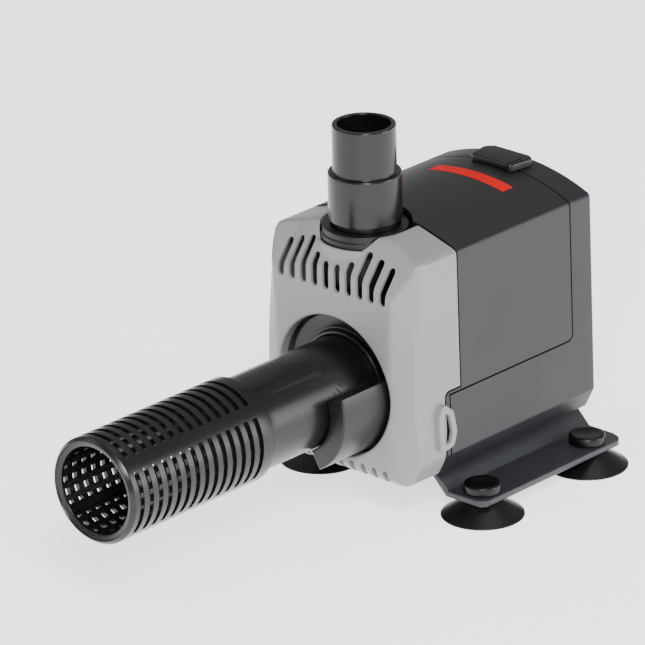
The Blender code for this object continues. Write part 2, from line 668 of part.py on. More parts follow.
# ---- pump chamber ----
def pump_chamber():
    depth = CHAMBER_BACK - CHAMBER_FRONT
    stub = INLET_STUB
    rim = INLET_RADIUS + INLET_WALL
    inside = CHAMBER_RADIUS - CHAMBER_WALL
    profile = [(rim, depth + stub), (rim, depth), (CHAMBER_RADIUS - 2 * MM, depth),
               (CHAMBER_RADIUS, depth - 2 * MM), (CHAMBER_RADIUS, 0), (inside, 0),
               (inside, depth - CHAMBER_WALL), (INLET_RADIUS, depth - CHAMBER_WALL),
               (INLET_RADIUS, depth + stub)]
    place = (0, CHAMBER_BACK, AXIS)
    chamber = turned("pump_chamber", profile, PARTS, CHAMBER_BLACK, place, FORWARD, 24)
    bore = SPIGOT_RADIUS + SPIGOT_GAP
    outside = bore + SOCKET_WALL
    tube_foot = AXIS + REGULATOR_RADIUS + 1.2 * MM
    profile = [
        (0, SOCKET_TOP), (SOCKET_RIM - 0.5 * MM, SOCKET_TOP), (SOCKET_RIM, SOCKET_TOP - 0.5 * MM),
        (SOCKET_RIM, SOCKET_TOP - 2.2 * MM), (SOCKET_SKIRT, SOCKET_TOP - 2.4 * MM),
        (SOCKET_SKIRT, SOCKET_TOP - 6 * MM), (outside, SOCKET_TOP - 8 * MM), (outside, tube_foot),
        (0, tube_foot)]
    boolean(chamber, turned("outlet_tube", profile, CUTTERS, None, steps=28), 'UNION')
    neck_front = CHAMBER_FRONT + 0.4 * MM
    neck_back = outside - 0.3 * MM
    neck = box((0, (neck_front + neck_back) / 2, AXIS + CHAMBER_RADIUS - 1 * MM),
               (2 * outside - 2 * MM, neck_back - neck_front, 8 * MM))
    boolean(chamber, cutter("outlet_neck", neck), 'UNION')
    throat_front = CHAMBER_FRONT + CHAMBER_WALL
    throat = box((0, (throat_front + NOZZLE_BORE) / 2, AXIS + CHAMBER_RADIUS - 4 * MM),
                 (1.8 * NOZZLE_BORE, NOZZLE_BORE - throat_front, 16 * MM))
    boolean(chamber, cutter("outlet_throat", throat))
    seat = SPIGOT_END - 2 * GAP
    above = SOCKET_TOP + 5 * MM
    duct_foot = tube_foot + 1.7 * MM
    profile = [(0, above), (bore, above), (bore, seat), (NOZZLE_BORE, seat), (NOZZLE_BORE, duct_foot),
               (0, duct_foot)]
    boolean(chamber, turned("outlet_duct", profile, CUTTERS, None, steps=28))
    boss = BUSH_RADIUS + 1.8 * MM
    boss_back = depth - CHAMBER_WALL + 0.2 * MM
    spider = rod(boss, boss_back, depth + stub - 0.6 * MM, 24)
    boolean(chamber, cutter("bush_boss", spider, place, FORWARD), 'UNION')
    reach = INLET_RADIUS - boss + 2 * MM
    middle = (INLET_RADIUS + boss) / 2
    spokes = []
    for i in range(3):
        spoke = box((0, middle, depth - CHAMBER_WALL / 2), (SPOKE_WIDTH, reach, CHAMBER_WALL - 0.8 * MM))
        turn = Matrix.Rotation(i * 2 * math.pi / 3 + math.radians(4), 4, 'Z')
        bmesh.ops.transform(spoke, matrix=turn, verts=spoke.verts)
        spokes.append(spoke)
    boolean(chamber, cutter("inlet_spokes", join(*spokes), place, FORWARD), 'UNION')
    pocket = rod(BUSH_RADIUS + GAP, boss_back - 5 * MM, depth + stub - 2.2 * MM, 20)
    boolean(chamber, cutter("bush_pocket", pocket, place, FORWARD))
    return chamber


def chamber_seal():
    radius = CHAMBER_RADIUS + GAP + SEAL_RADIUS
    place = (0, CHAMBER_BACK - SEAL_RADIUS, AXIS)
    return ring_seal("chamber_seal", radius, SEAL_RADIUS, place, FORWARD, 20)


# ---- regulator and strainer ----
def intake_regulator():
    """Dished ring with a raised wing, which also seats the strainer's sleeve."""
    back = REGULATOR_BACK
    seat = SLEEVE_RADIUS + 0.25 * MM
    front = DISH_DEPTH
    hub = INLET_RADIUS + INLET_WALL + GAP
    step = INLET_STUB - 1 * MM
    seat_wall = seat + SLEEVE_SEAT
    profile = [(REGULATOR_RADIUS, front), (REGULATOR_RADIUS, 0), (hub, 0), (hub, step), (seat, step),
               (seat, front + 1 * MM), (seat_wall, front + 1 * MM), (seat_wall, step + 0.8 * MM),
               (REGULATOR_RADIUS - 1.2 * MM, front)]
    place = (0, back, AXIS)
    item = turned("intake_regulator", profile, PARTS, SATIN_BLACK, place, FORWARD, 28)
    reach = back - WING_FRONT
    outer = REGULATOR_RADIUS - GAP
    wing = annulus_sector(seat + 0.2 * MM, outer, WING_START, WING_SWEEP, 1.8 * MM, reach, 12)
    boolean(item, cutter("wing", wing, place, FORWARD), 'UNION')
    return item


def strainer_slots():
    """All the slots as one cutter: rows of ring sectors between the long bars."""
    sweep = 2 * math.pi / SLOTS_AROUND - BAR_ANGLE
    inner = STRAINER_BORE - 0.3 * MM
    outer = STRAINER_RADIUS + 2 * MM
    sectors = []
    for row in range(SLOT_ROWS):
        low = -(LAST_SLOT - row * SLOT_PITCH) - SLOT_WIDTH / 2
        for k in range(SLOTS_AROUND):
            start = BAR_START + BAR_ANGLE / 2 + k * 2 * math.pi / SLOTS_AROUND
            sectors.append(annulus_sector(inner, outer, start, sweep, low, low + SLOT_WIDTH, 3))
    return join(*sectors)


def suction_strainer():
    mouth = -STRAINER_MOUTH
    shoulder = -STRAINER_SHOULDER
    end = -SLEEVE_END
    lip = 0.7 * MM
    profile = [(STRAINER_RADIUS - lip, mouth), (STRAINER_RADIUS, mouth - lip),
               (STRAINER_RADIUS, shoulder + 1.5 * MM), (STRAINER_RADIUS - 0.6 * MM, shoulder),
               (SLEEVE_RADIUS, shoulder), (SLEEVE_RADIUS, end), (SLEEVE_BORE, end),
               (SLEEVE_BORE, shoulder + 2 * MM), (STRAINER_BORE, shoulder + 4 * MM),
               (STRAINER_BORE, mouth)]
    item = turned("suction_strainer", profile, PARTS, SATIN_BLACK, (0, 0, AXIS), FORWARD, 24)
    ribs = []
    for i in range(STRAINER_RIBS):
        rib = box((0, STRAINER_BORE + 0.1 * MM - RIB_HEIGHT / 2, (mouth + shoulder) / 2 + 0.5 * MM),
                  (RIB_WIDTH, RIB_HEIGHT, mouth - shoulder - 3 * MM))
        turn = Matrix.Rotation(-BAR_START - i * 2 * math.pi / STRAINER_RIBS, 4, 'Z')
        bmesh.ops.transform(rib, matrix=turn, verts=rib.verts)
        ribs.append(rib)
    boolean(item, cutter("strainer_slots", strainer_slots(), (0, 0, AXIS), FORWARD))
    boolean(item, cutter("strainer_ribs", join(*ribs), (0, 0, AXIS), FORWARD), 'UNION')
    return item


# ---- motor: well, rotor, stator ----
def rotor_can():
    """Front plate of the motor with the closed well that the magnet runs in."""
    front = CHAMBER_BACK + GAP
    back = front + PLATE_THICKNESS
    outline = body_outline(WALL + GAP)
    can = piece("rotor_can", prism(outline, front, back), CHAMBER_BLACK)
    reach = WELL_END - back
    floor = 3.6 * MM
    bore = WELL_RADIUS - WELL_WALL
    boolean(can, cutter("well_hole", rod(bore, -10 * MM, 10 * MM, 28), (0, front, AXIS), FORWARD))
    pocket = BUSH_RADIUS + GAP
    inside = -reach + floor
    pocket_floor = inside - 2.4 * MM
    profile = [(WELL_RADIUS, 1 * MM), (WELL_RADIUS, -reach), (0, -reach), (0, pocket_floor),
               (pocket, pocket_floor), (pocket, inside), (bore, inside), (bore, 1 * MM)]
    well = turned("well", profile, CUTTERS, None, (0, back, AXIS), FORWARD, 28)
    boolean(can, well, 'UNION')
    return can


def rotor_shaft():
    low = -(WELL_END - 2.0 * MM)
    high = -(CHAMBER_FRONT + 0.2 * MM)
    chamfer = 0.4 * MM
    profile = [(0, high), (SHAFT_RADIUS - chamfer, high), (SHAFT_RADIUS, high - chamfer),
               (SHAFT_RADIUS, low + chamfer), (SHAFT_RADIUS - chamfer, low), (0, low)]
    return turned("rotor_shaft", profile, PARTS, CERAMIC, (0, 0, AXIS), FORWARD, 12)


def bush(name, back, front):
    """Rubber ring that seats one end of the shaft."""
    hole = SHAFT_RADIUS + GAP
    profile = [(hole, -front), (BUSH_RADIUS, -front), (BUSH_RADIUS, -back), (hole, -back)]
    return turned(name, profile, PARTS, RUBBER, (0, 0, AXIS), FORWARD, 12)


def rotor_magnet():
    front = CHAMBER_BACK + 5 * MM
    back = WELL_END - 7 * MM
    hole = SHAFT_RADIUS + 3 * GAP
    chamfer = 0.6 * MM
    profile = [(hole, -front), (MAGNET_RADIUS - chamfer, -front), (MAGNET_RADIUS, -front - chamfer),
               (MAGNET_RADIUS, -back + chamfer), (MAGNET_RADIUS - chamfer, -back), (hole, -back)]
    return turned("rotor_magnet", profile, PARTS, FERRITE, (0, 0, AXIS), FORWARD, 24)


def impeller():
    """Back disc with a hub and backward-leaning blades."""
    disc_front = CHAMBER_BACK - 4.0 * MM
    disc_back = disc_front + 1.8 * MM
    hub_front = CHAMBER_FRONT + CHAMBER_WALL + 1 * MM
    hub_back = CHAMBER_BACK + 5 * MM - GAP
    hole = SHAFT_RADIUS + GAP
    profile = [(hole, -hub_front), (IMPELLER_HUB - 1.5 * MM, -hub_front),
               (IMPELLER_HUB, -disc_front + 2 * MM), (IMPELLER_HUB, -disc_front),
               (IMPELLER_RADIUS, -disc_front), (IMPELLER_RADIUS, -disc_back),
               (IMPELLER_HUB, -disc_back), (IMPELLER_HUB, -hub_back), (hole, -hub_back)]
    item = turned("impeller", profile, PARTS, IMPELLER_WHITE, (0, 0, AXIS), FORWARD, 24)
    blade_front = CHAMBER_FRONT + CHAMBER_WALL + 0.8 * MM
    blades = []
    for i in range(BLADES):
        blade = prism(blade_outline(), -disc_front - 0.5 * MM, -blade_front, 'Z')
        turn = Matrix.Rotation(i * 2 * math.pi / BLADES, 4, 'Z')
        bmesh.ops.transform(blade, matrix=turn, verts=blade.verts)
        blades.append(blade)
    boolean(item, cutter("blades", join(*blades), (0, 0, AXIS), FORWARD), 'UNION')
    return item


def blade_outline():
    """Blade in plan: a strip whose angle grows with its radius."""
    steps = 4
    inner = IMPELLER_HUB - 1.2 * MM
    outer = IMPELLER_RADIUS - 0.4 * MM
    left = []
    right = []
    for i in range(steps + 1):
        t = i / steps
        radius = inner + (outer - inner) * t
        angle = -BLADE_LEAN * t ** 1.3
        half = math.asin(BLADE_WIDTH / 2 / radius)
        left.append((radius * math.cos(angle + half), radius * math.sin(angle + half)))
        right.append((radius * math.cos(angle - half), radius * math.sin(angle - half)))
    return right + list(reversed(left))


def resin_top():
    """Level of the cast resin, just above the rotor's well; the coils stand on it."""
    return AXIS + WELL_RADIUS + RESIN_COVER


def core_window_top():
    """Underside of the core's bridge, just above the coils."""
    return resin_top() + 2 * GAP + COIL_HEIGHT + GAP


def stator_core():
    """Laminated core: two legs beside the well, joined over the top."""
    low = CORE_FOOT
    bridge = core_window_top()
    top = bridge + LEG_WIDTH
    outline = [(-CORE_HALF, low), (CORE_HALF, low), (CORE_HALF, top), (-CORE_HALF, top)]
    core = piece("stator_core", prism(outline, CORE_FRONT, CORE_FRONT + CORE_DEPTH), STEEL)
    inner = CORE_HALF - LEG_WIDTH
    window = [(-inner, AXIS), (inner, AXIS), (inner, bridge), (-inner, bridge)]
    boolean(core, cutter("core_window", prism(window, 0, 80 * MM)))
    bore = rod(WELL_RADIUS + GAP, -80 * MM, 80 * MM, 32)
    boolean(core, cutter("core_bore", bore, (0, 0, AXIS), FORWARD))
    gap_slot = box((0, 40 * MM, AXIS - 15 * MM), (5 * MM, 80 * MM, 20 * MM))
    boolean(core, cutter("pole_gap", gap_slot))
    return core


def coil(name, side):
    """Bobbin wound around one leg of the core: end cheeks with the winding between them."""
    inner = CORE_HALF - LEG_WIDTH
    middle = side * (inner + CORE_HALF) / 2
    half_x = LEG_WIDTH / 2 + COIL_WALL
    half_y = CORE_DEPTH / 2 + COIL_WALL
    base = resin_top() + 2 * GAP
    centre_y = CORE_FRONT + CORE_DEPTH / 2
    corners = [(-half_x, -half_y), (half_x, -half_y), (half_x, half_y), (-half_x, half_y)]
    plan = [(middle + x, centre_y + y) for x, y in rounded(corners, 6 * MM, 4)]
    top = COIL_HEIGHT - CHEEK
    levels = [(0, 0), (CHEEK, 0), (CHEEK, CHEEK_STEP), (top, CHEEK_STEP), (top, 0), (COIL_HEIGHT, 0)]
    bm = bmesh.new()
    rings = []
    for height, inset in levels:
        ring = offset(plan, inset) if inset else plan
        rings.append([bm.verts.new((x, y, base + height)) for x, y in ring])
    for low, high in zip(rings, rings[1:]):
        for i in range(len(low)):
            j = (i + 1) % len(low)
            bm.faces.new((low[i], low[j], high[j], high[i]))
    bm.faces.new(rings[0])
    bm.faces.new(rings[-1])
    item = piece(name, bm, COPPER)
    leg = box((middle, centre_y, AXIS + 20 * MM), (LEG_WIDTH + 2 * GAP, CORE_DEPTH + 2 * GAP, 80 * MM))
    boolean(item, cutter(name + "_leg", leg))
    return item


def potting_resin():
    """Cast resin that fills the lower motor space around the well and the core's legs."""
    front = CHAMBER_BACK + GAP + PLATE_THICKNESS + GAP
    back = REAR_SEAM - 2 * MM
    resin = piece("potting_resin", prism(body_outline(WALL + GAP), front, back), RESIN)
    top = box((0, 40 * MM, resin_top() + 40 * MM), (200 * MM, 200 * MM, 80 * MM))
    boolean(resin, cutter("resin_level", top))
    well = rod(WELL_RADIUS + GAP, -(WELL_END + GAP), 20 * MM, 32)
    boolean(resin, cutter("resin_well", well, (0, 0, AXIS), FORWARD))
    legs = box((0, CORE_FRONT + CORE_DEPTH / 2, CORE_FOOT - GAP + 40 * MM),
               (2 * CORE_HALF + 2 * GAP, CORE_DEPTH + 2 * GAP, 80 * MM))
    boolean(resin, cutter("resin_core", legs))
    return resin


# ---- base ----
def plate_section():
    """Cross-section of the base plate: level wings, slopes, and a raised middle under the casing."""
    top = BODY_BOTTOM - GAP
    inner = WING_INNER - (top - WING_TOP)
    shift = WING_THICKNESS * math.tan(math.radians(22.5))
    under = [(PLATE_HALF, WING_TOP - WING_THICKNESS), (WING_INNER - shift, WING_TOP - WING_THICKNESS),
             (inner - shift, top - WING_THICKNESS)]
    over = [(PLATE_HALF, WING_TOP), (WING_INNER, WING_TOP), (inner, top)]
    right = under[::-1] + over
    return right + [(-x, z) for x, z in right[::-1]]


def base_plate():
    plate = piece("base_plate", prism(plate_section(), PLATE_FRONT, PLATE_REAR), PLATE_GREY)
    chamfer = PLATE_HALF - PLATE_CHAMFER
    right = [(PLATE_HALF, PLATE_FRONT), (PLATE_HALF, PLATE_REAR - PLATE_CHAMFER / 3), (chamfer, PLATE_REAR)]
    plan = rounded(right + [(-x, y) for x, y in right[::-1]], PLATE_CORNER, 3)
    boolean(plate, cutter("plate_plan", prism(plan, 0, 40 * MM, 'Z')), 'INTERSECT')
    pockets = []
    holes = []
    for x, y in cup_places():
        pockets.append(rod(BUTTON_RADIUS + BUTTON_POCKET, WING_TOP, BUTTON_TOP + 10 * MM, 20, (x, y)))
        holes.append(rod(CUP_NECK + GAP, 0, WING_TOP + 5 * MM, 20, (x, y)))
    boolean(plate, cutter("button_pockets", join(*pockets)))
    boolean(plate, cutter("cup_holes", join(*holes)))
    return plate


def cup_places():
    return [(side * CUP_X, CUP_FRONT + row * CUP_SPACING) for side in (1, -1) for row in (0, 1)]


def suction_cup(name, place):
    """Soft cup with a neck through the plate and a flat button above it."""
    under = WING_TOP - WING_THICKNESS - GAP
    above = WING_TOP + GAP
    lip = 0.5 * MM
    bead = CUP_RADIUS - CUP_BEAD
    profile = [
        (0, BUTTON_TOP), (BUTTON_RADIUS - 1 * MM, BUTTON_TOP), (BUTTON_RADIUS, BUTTON_TOP - 1 * MM),
        (BUTTON_RADIUS, above + lip), (BUTTON_RADIUS - lip, above), (CUP_NECK, above), (CUP_NECK, under),
        (CUP_NECK + 1.2 * MM, under), (CUP_NECK + 3.2 * MM, under - 1.6 * MM), (bead, 1.1 * MM),
        (CUP_RADIUS, 0.3 * MM), (CUP_RADIUS, 0), (bead, 0), (CUP_NECK, CUP_HOLLOW - 0.3 * MM),
        (0, CUP_HOLLOW)]
    return turned(name, profile, PARTS, RUBBER, (place[0], place[1], 0), (0, 0, 0), 16)


# ---- build ----
clear_scene()
PARTS = new_collection("circulation_pump")
CUTTERS = new_collection("cutters")
PUMP = bpy.data.objects.new("pump_origin", None)
PARTS.objects.link(PUMP)
PUMP.location = (0, -(STRAINER_MOUTH + CUP_FRONT + CUP_SPACING + CUP_RADIUS) / 2, 0)

COVER_GREY = material("cover_grey", (0.40, 0.41, 0.42), 0.42)
HOOD_BLACK = material("hood_black", (0.030, 0.030, 0.033), 0.45)
LATCH_BLACK = material("latch_black", (0.022, 0.022, 0.024), 0.40)
GLOSS_BLACK = material("nozzle_black", (0.020, 0.019, 0.021), 0.25)
SATIN_BLACK = material("strainer_black", (0.022, 0.021, 0.023), 0.35)
CHAMBER_BLACK = material("chamber_black", (0.018, 0.018, 0.019), 0.40)
PLATE_GREY = material("plate_grey", (0.045, 0.048, 0.058), 0.45)
RUBBER = material("rubber", (0.010, 0.010, 0.010), 0.55)
CERAMIC = material("ceramic", (0.80, 0.79, 0.75), 0.25)
FERRITE = material("ferrite", (0.05, 0.05, 0.055), 0.5, 0.2)
IMPELLER_WHITE = material("impeller_white", (0.62, 0.63, 0.60), 0.4)
STEEL = material("lamination_steel", (0.42, 0.42, 0.44), 0.4, 0.9)
COPPER = material("winding_copper", (0.55, 0.24, 0.10), 0.35, 0.8)
RESIN = material("potting_resin", (0.03, 0.03, 0.035), 0.3)

front_cover()
motor_hood()
rear_shell()
top_latch()
cable_gland()
outlet_nozzle()
nozzle_o_ring()
pump_chamber()
chamber_seal()
intake_regulator()
suction_strainer()
rotor_can()
rotor_shaft()
bush("front_bush", CHAMBER_FRONT + CHAMBER_WALL, CHAMBER_FRONT + 0.2 * MM)
bush("rear_bush", WELL_END - 1.5 * MM, WELL_END - 3.3 * MM)
rotor_magnet()
impeller()
stator_core()
coil("coil_right", 1)
coil("coil_left", -1)
potting_resin()
base_plate()
for number, spot in enumerate(cup_places(), 1):
    suction_cup("suction_cup_%d" % number, spot)
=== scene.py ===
# %% [markdown]
# # A submersible circulation pump, made from surfaces
#
# A small aquarium pump is mostly moulded plastic: a grey front cover, a black motor casing, a long
# slotted strainer, a stepped hose nozzle, and a base plate on four suction cups.  Each piece below is
# one surface, or a few, worked out with numpy as a whole grid of points and then given to Blender.
#
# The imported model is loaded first.  It fixes where everything is and how it moves, and the pieces
# made here stand in for its plain solids.

# %% Load the frame
import math

import bmesh
import bpy
import numpy as np
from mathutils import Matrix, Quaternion, Vector


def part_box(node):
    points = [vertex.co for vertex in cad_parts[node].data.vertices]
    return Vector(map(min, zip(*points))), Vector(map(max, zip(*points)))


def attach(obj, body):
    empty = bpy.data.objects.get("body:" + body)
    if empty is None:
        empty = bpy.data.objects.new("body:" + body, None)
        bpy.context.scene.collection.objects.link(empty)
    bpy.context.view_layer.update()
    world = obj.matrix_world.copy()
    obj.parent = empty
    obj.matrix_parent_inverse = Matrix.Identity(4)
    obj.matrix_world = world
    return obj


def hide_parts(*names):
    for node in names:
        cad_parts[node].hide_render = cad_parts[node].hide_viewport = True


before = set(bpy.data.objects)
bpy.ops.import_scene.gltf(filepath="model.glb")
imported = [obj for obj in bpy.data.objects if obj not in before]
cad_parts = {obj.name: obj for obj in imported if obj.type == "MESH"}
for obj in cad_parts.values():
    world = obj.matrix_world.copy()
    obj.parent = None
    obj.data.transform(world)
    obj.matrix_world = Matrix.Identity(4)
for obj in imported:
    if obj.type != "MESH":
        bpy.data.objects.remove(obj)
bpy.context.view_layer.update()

# %% [markdown]
# ## The measuring frame
#
# A maker measures a pump from its nozzle and from the surface that it stands on.  So the sizes here
# are in millimetres, with x = y = 0 on the nozzle's axis, y growing to the back and z = 0 under the
# cups.  One helper turns such points into the scene's metres.

# %% Sizes that several pieces share
MM = 0.001
nozzle_low, nozzle_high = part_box("outlet_nozzle")
NOZZLE_Y = (nozzle_low.y + nozzle_high.y) / 2 / MM
NOZZLE_TOP = nozzle_high.z / MM
magnet_low, magnet_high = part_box("rotor_magnet")
AXIS = (magnet_low.z + magnet_high.z) / 2 / MM     # height of the rotor, regulator and strainer
SEAM = 0.6                                          # between the outer casings
FIT = 0.3                                           # between pieces that sit in one another
CORNER = 0.01                                       # a corner or an edge left sharp


def depth_of(node, side):
    """Front (0) or rear (1) of a CAD node, in millimetres behind the nozzle's axis."""
    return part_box(node)[side].y / MM - NOZZLE_Y


COVER_FRONT = depth_of("front_cover", 0)
COVER_SEAM = 9.0
BODY_REAR = depth_of("rear_shell", 1)
BODY_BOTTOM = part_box("rear_shell")[0].z / MM
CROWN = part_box("rear_shell")[1].z / MM
STRAINER_MOUTH = depth_of("suction_strainer", 0)
print("nozzle axis at y = %.1f mm, pump axis at z = %.1f mm" % (NOZZLE_Y, AXIS))
print("cover front %.1f, casing rear %.1f, crown %.1f" % (COVER_FRONT, BODY_REAR, CROWN))

# %% [markdown]
# ## Camera and light
#
# The camera comes first, because it says how much detail each piece needs.  It is a long lens from a
# little over two metres, which keeps the pump's parallel edges nearly parallel.  It looks at a point
# on the nozzle's axis, and its shift sets that point a little right of and below the middle.

# %% Camera
CAMERA_AZIMUTH = math.radians(42.39)
CAMERA_HEIGHT = math.radians(22.47)
CAMERA_ROLL = math.radians(-1.04)
CAMERA_DISTANCE = 2.1229
CAMERA_LENS = 345.1
CAMERA_SHIFT = (-0.0709, 0.0678)
TARGET = np.array([0.0, NOZZLE_Y * MM, 0.050])


def add_camera():
    """Camera on a sphere about the target, turned to it and rolled about its line of sight."""
    data = bpy.data.cameras.new("camera")
    data.sensor_width = 36.0
    data.lens = CAMERA_LENS
    data.shift_x, data.shift_y = CAMERA_SHIFT
    data.clip_end = 20.0
    camera = bpy.data.objects.new("camera", data)
    bpy.context.scene.collection.objects.link(camera)
    level = math.cos(CAMERA_HEIGHT)
    back = np.array([math.sin(CAMERA_AZIMUTH) * level, -math.cos(CAMERA_AZIMUTH) * level,
                     math.sin(CAMERA_HEIGHT)])
    camera.location = TARGET + CAMERA_DISTANCE * back
    camera.rotation_mode = 'QUATERNION'
    look = Vector(back).to_track_quat('Z', 'Y')
    camera.rotation_quaternion = look @ Quaternion((0, 0, 1), CAMERA_ROLL)
    bpy.context.scene.camera = camera
    return camera


camera = add_camera()
print("camera at", [round(value, 3) for value in camera.location])

# %% [markdown]
# The light is a plain studio: a pale floor that runs up out of sight, a soft white surround, and a few
# large soft boxes.  Satin plastic shows its form by the broad highlights that such boxes leave on each
# facet, so every box is placed for the face that it should brighten.


# %% Floor, surround and soft boxes
def soft_box(name, direction, distance, size, power):
    """Square area light that looks back at the target from a direction."""
    data = bpy.data.lights.new(name, 'AREA')
    data.shape = 'SQUARE'
    data.size = size
    data.energy = power
    light = bpy.data.objects.new(name, data)
    bpy.context.scene.collection.objects.link(light)
    away = Vector(direction).normalized()
    light.location = Vector(TARGET) + away * distance
    light.rotation_euler = away.to_track_quat('Z', 'Y').to_euler()
    return light


def set_values(node, values):
    """Numbers and colours that are the same all over go straight onto a node's own sockets."""
    for name, value in values.items():
        node.inputs[name].default_value = value


def pale_floor(size=8.0):
    """One square of plain paper that glows a little, so that it stays pale away from the boxes."""
    mesh = bpy.data.meshes.new("floor")
    half = size / 2
    corners = [(-half, -half, 0), (half, -half, 0), (half, half, 0), (-half, half, 0)]
    mesh.from_pydata(corners, [], [(0, 1, 2, 3)])
    floor = bpy.data.objects.new("floor", mesh)
    bpy.context.scene.collection.objects.link(floor)
    paint = bpy.data.materials.new("floor_paper")
    paint.use_nodes = True
    set_values(paint.node_tree.nodes["Principled BSDF"], {
        "Base Color": (0.93, 0.93, 0.93, 1), "Roughness": 0.9, "Specular IOR Level": 0.1,
        "Emission Color": (1, 1, 1, 1), "Emission Strength": 1.5})
    mesh.materials.append(paint)
    return floor


def surround(strength):
    """White light from all sides."""
    world = bpy.data.worlds.new("surround")
    world.use_nodes = True
    bpy.context.scene.world = world
    set_values(world.node_tree.nodes["Background"], {"Color": (1, 1, 1, 1), "Strength": strength})


pale_floor()
surround(0.40)
soft_box("box_upper_left", (-0.62, -0.54, 0.56), 1.6, 0.9, 4.0)
soft_box("box_front_right", (0.585, -0.527, 0.616), 1.5, 0.45, 24.0)
soft_box("box_right_rear", (0.95, 0.55, 0.25), 1.5, 0.7, 11.0)
soft_box("box_top", (0.0, 0.25, 1.0), 1.5, 0.8, 3.0)

# %% [markdown]
# ## Three tools for surfaces
#
# Almost every moulded piece is one of three things: a grid of points closed round into a skin, a
# profile turned about an axis, or a flat outline given a thickness with soft edges.  The grid is the
# base of the other two, so it is made first.


# %% From a grid of points to a mesh
def grid_faces(rows, columns, wrap_rows, wrap_columns):
    """Corner numbers of every quad of a grid: point (i, j), its right neighbour, and the two above."""
    index = np.arange(rows * columns).reshape(rows, columns)
    if wrap_rows:
        index = np.vstack([index, index[:1]])
    if wrap_columns:
        index = np.hstack([index, index[:, :1]])
    quads = np.stack([index[:-1, :-1], index[:-1, 1:], index[1:, 1:], index[1:, :-1]], axis=-1)
    return quads.reshape(-1, 4)


def to_scene(points):
    """Millimetres about the nozzle's axis to metres in the scene."""
    moved = np.array(points, dtype=float)
    moved[..., 1] += NOZZLE_Y
    return moved * MM


def mesh_of(name, grids, ends=()):
    """Mesh of one or more grids, each (points, wrap_rows, wrap_columns), with flat ends if asked.

    Doubled points along poles and seams are merged, and the faces are turned outwards.
    """
    points = []
    faces = []
    start = 0
    for grid, wrap_rows, wrap_columns in grids:
        rows, columns = grid.shape[:2]
        points.append(grid.reshape(-1, 3))
        faces += (grid_faces(rows, columns, wrap_rows, wrap_columns) + start).tolist()
        if "caps" in ends:
            faces.append(list(range(start, start + columns)))
            faces.append(list(range(start + (rows - 1) * columns, start + rows * columns)))
        start += rows * columns
    mesh = bpy.data.meshes.new(name)
    mesh.from_pydata(to_scene(np.vstack(points)).tolist(), [], faces)
    bm = bmesh.new()
    bm.from_mesh(mesh)
    bmesh.ops.remove_doubles(bm, verts=bm.verts, dist=1e-6)
    bmesh.ops.recalc_face_normals(bm, faces=bm.faces)
    bm.to_mesh(mesh)
    bm.free()
    return mesh


def shade(mesh, angle=32):
    """Smooth shading, but sharp where two faces meet at more than an angle."""
    mesh.shade_smooth()
    mesh.set_sharp_from_angle(angle=math.radians(angle))


def add_piece(name, mesh, finish):
    """Object at the origin that shows a mesh in one finish."""
    piece = bpy.data.objects.new(name, mesh)
    bpy.context.scene.collection.objects.link(piece)
    shade(mesh)
    mesh.materials.clear()
    mesh.materials.append(finish)
    return piece


print("a 3 by 4 grid has", len(grid_faces(3, 4, False, True)), "faces when its columns close up")

# %% [markdown]
# A moulded edge is never sharp.  The next helpers round the corners of an outline and move an outline
# inwards, and the tools that turn or thicken an outline use them for every visible edge.


# %% Outlines
def soften(corners, radius, steps=5, closed=True):
    """Polyline with rounded corners.

    Each corner becomes a short curve B(t) = (1-t)^2 a + 2t(1-t) p + t^2 b, where a and b lie
    radius * tan(turn / 2) from the corner p on its two sides.
    """
    p = np.asarray(corners, dtype=float)
    before = np.roll(p, 1, axis=0) - p
    after = np.roll(p, -1, axis=0) - p
    length_before = np.linalg.norm(before, axis=1)
    length_after = np.linalg.norm(after, axis=1)
    cosine = (before * after).sum(axis=1) / (length_before * length_after)
    turn = np.pi - np.arccos(np.clip(cosine, -1, 1))
    reach = np.broadcast_to(radius, turn.shape) * np.tan(np.minimum(turn, 2.8) / 2)
    reach = np.minimum(reach, 0.48 * np.minimum(length_before, length_after))
    a = p + before * (reach / length_before)[:, None]
    b = p + after * (reach / length_after)[:, None]
    t = np.linspace(0, 1, steps + 1)[None, :, None]
    curve = a[:, None] * (1 - t) ** 2 + p[:, None] * 2 * t * (1 - t) + b[:, None] * t ** 2
    if closed:
        path = curve.reshape(-1, 2)
    else:
        path = np.vstack([p[:1], curve[1:-1].reshape(-1, 2), p[-1:]])
    step = np.linalg.norm(np.diff(path, axis=0, append=path[:1]), axis=1)
    return path[(step > 0.03) | (np.arange(len(path)) == len(path) - 1) & (not closed)]


def inward(outline, distance):
    """Closed anticlockwise outline moved in by a distance along its mitred normals."""
    p = np.asarray(outline, dtype=float)
    along_a = p - np.roll(p, 1, axis=0)
    along_b = np.roll(p, -1, axis=0) - p
    along_a /= np.maximum(np.linalg.norm(along_a, axis=1), 1e-9)[:, None]
    along_b /= np.maximum(np.linalg.norm(along_b, axis=1), 1e-9)[:, None]
    normal_a = np.stack([-along_a[:, 1], along_a[:, 0]], axis=1)
    normal_b = np.stack([-along_b[:, 1], along_b[:, 0]], axis=1)
    middle = normal_a + normal_b
    middle /= np.maximum(np.linalg.norm(middle, axis=1), 1e-9)[:, None]
    share = np.maximum((middle * normal_a).sum(axis=1), 0.3)
    return p + middle * (distance / share)[:, None]


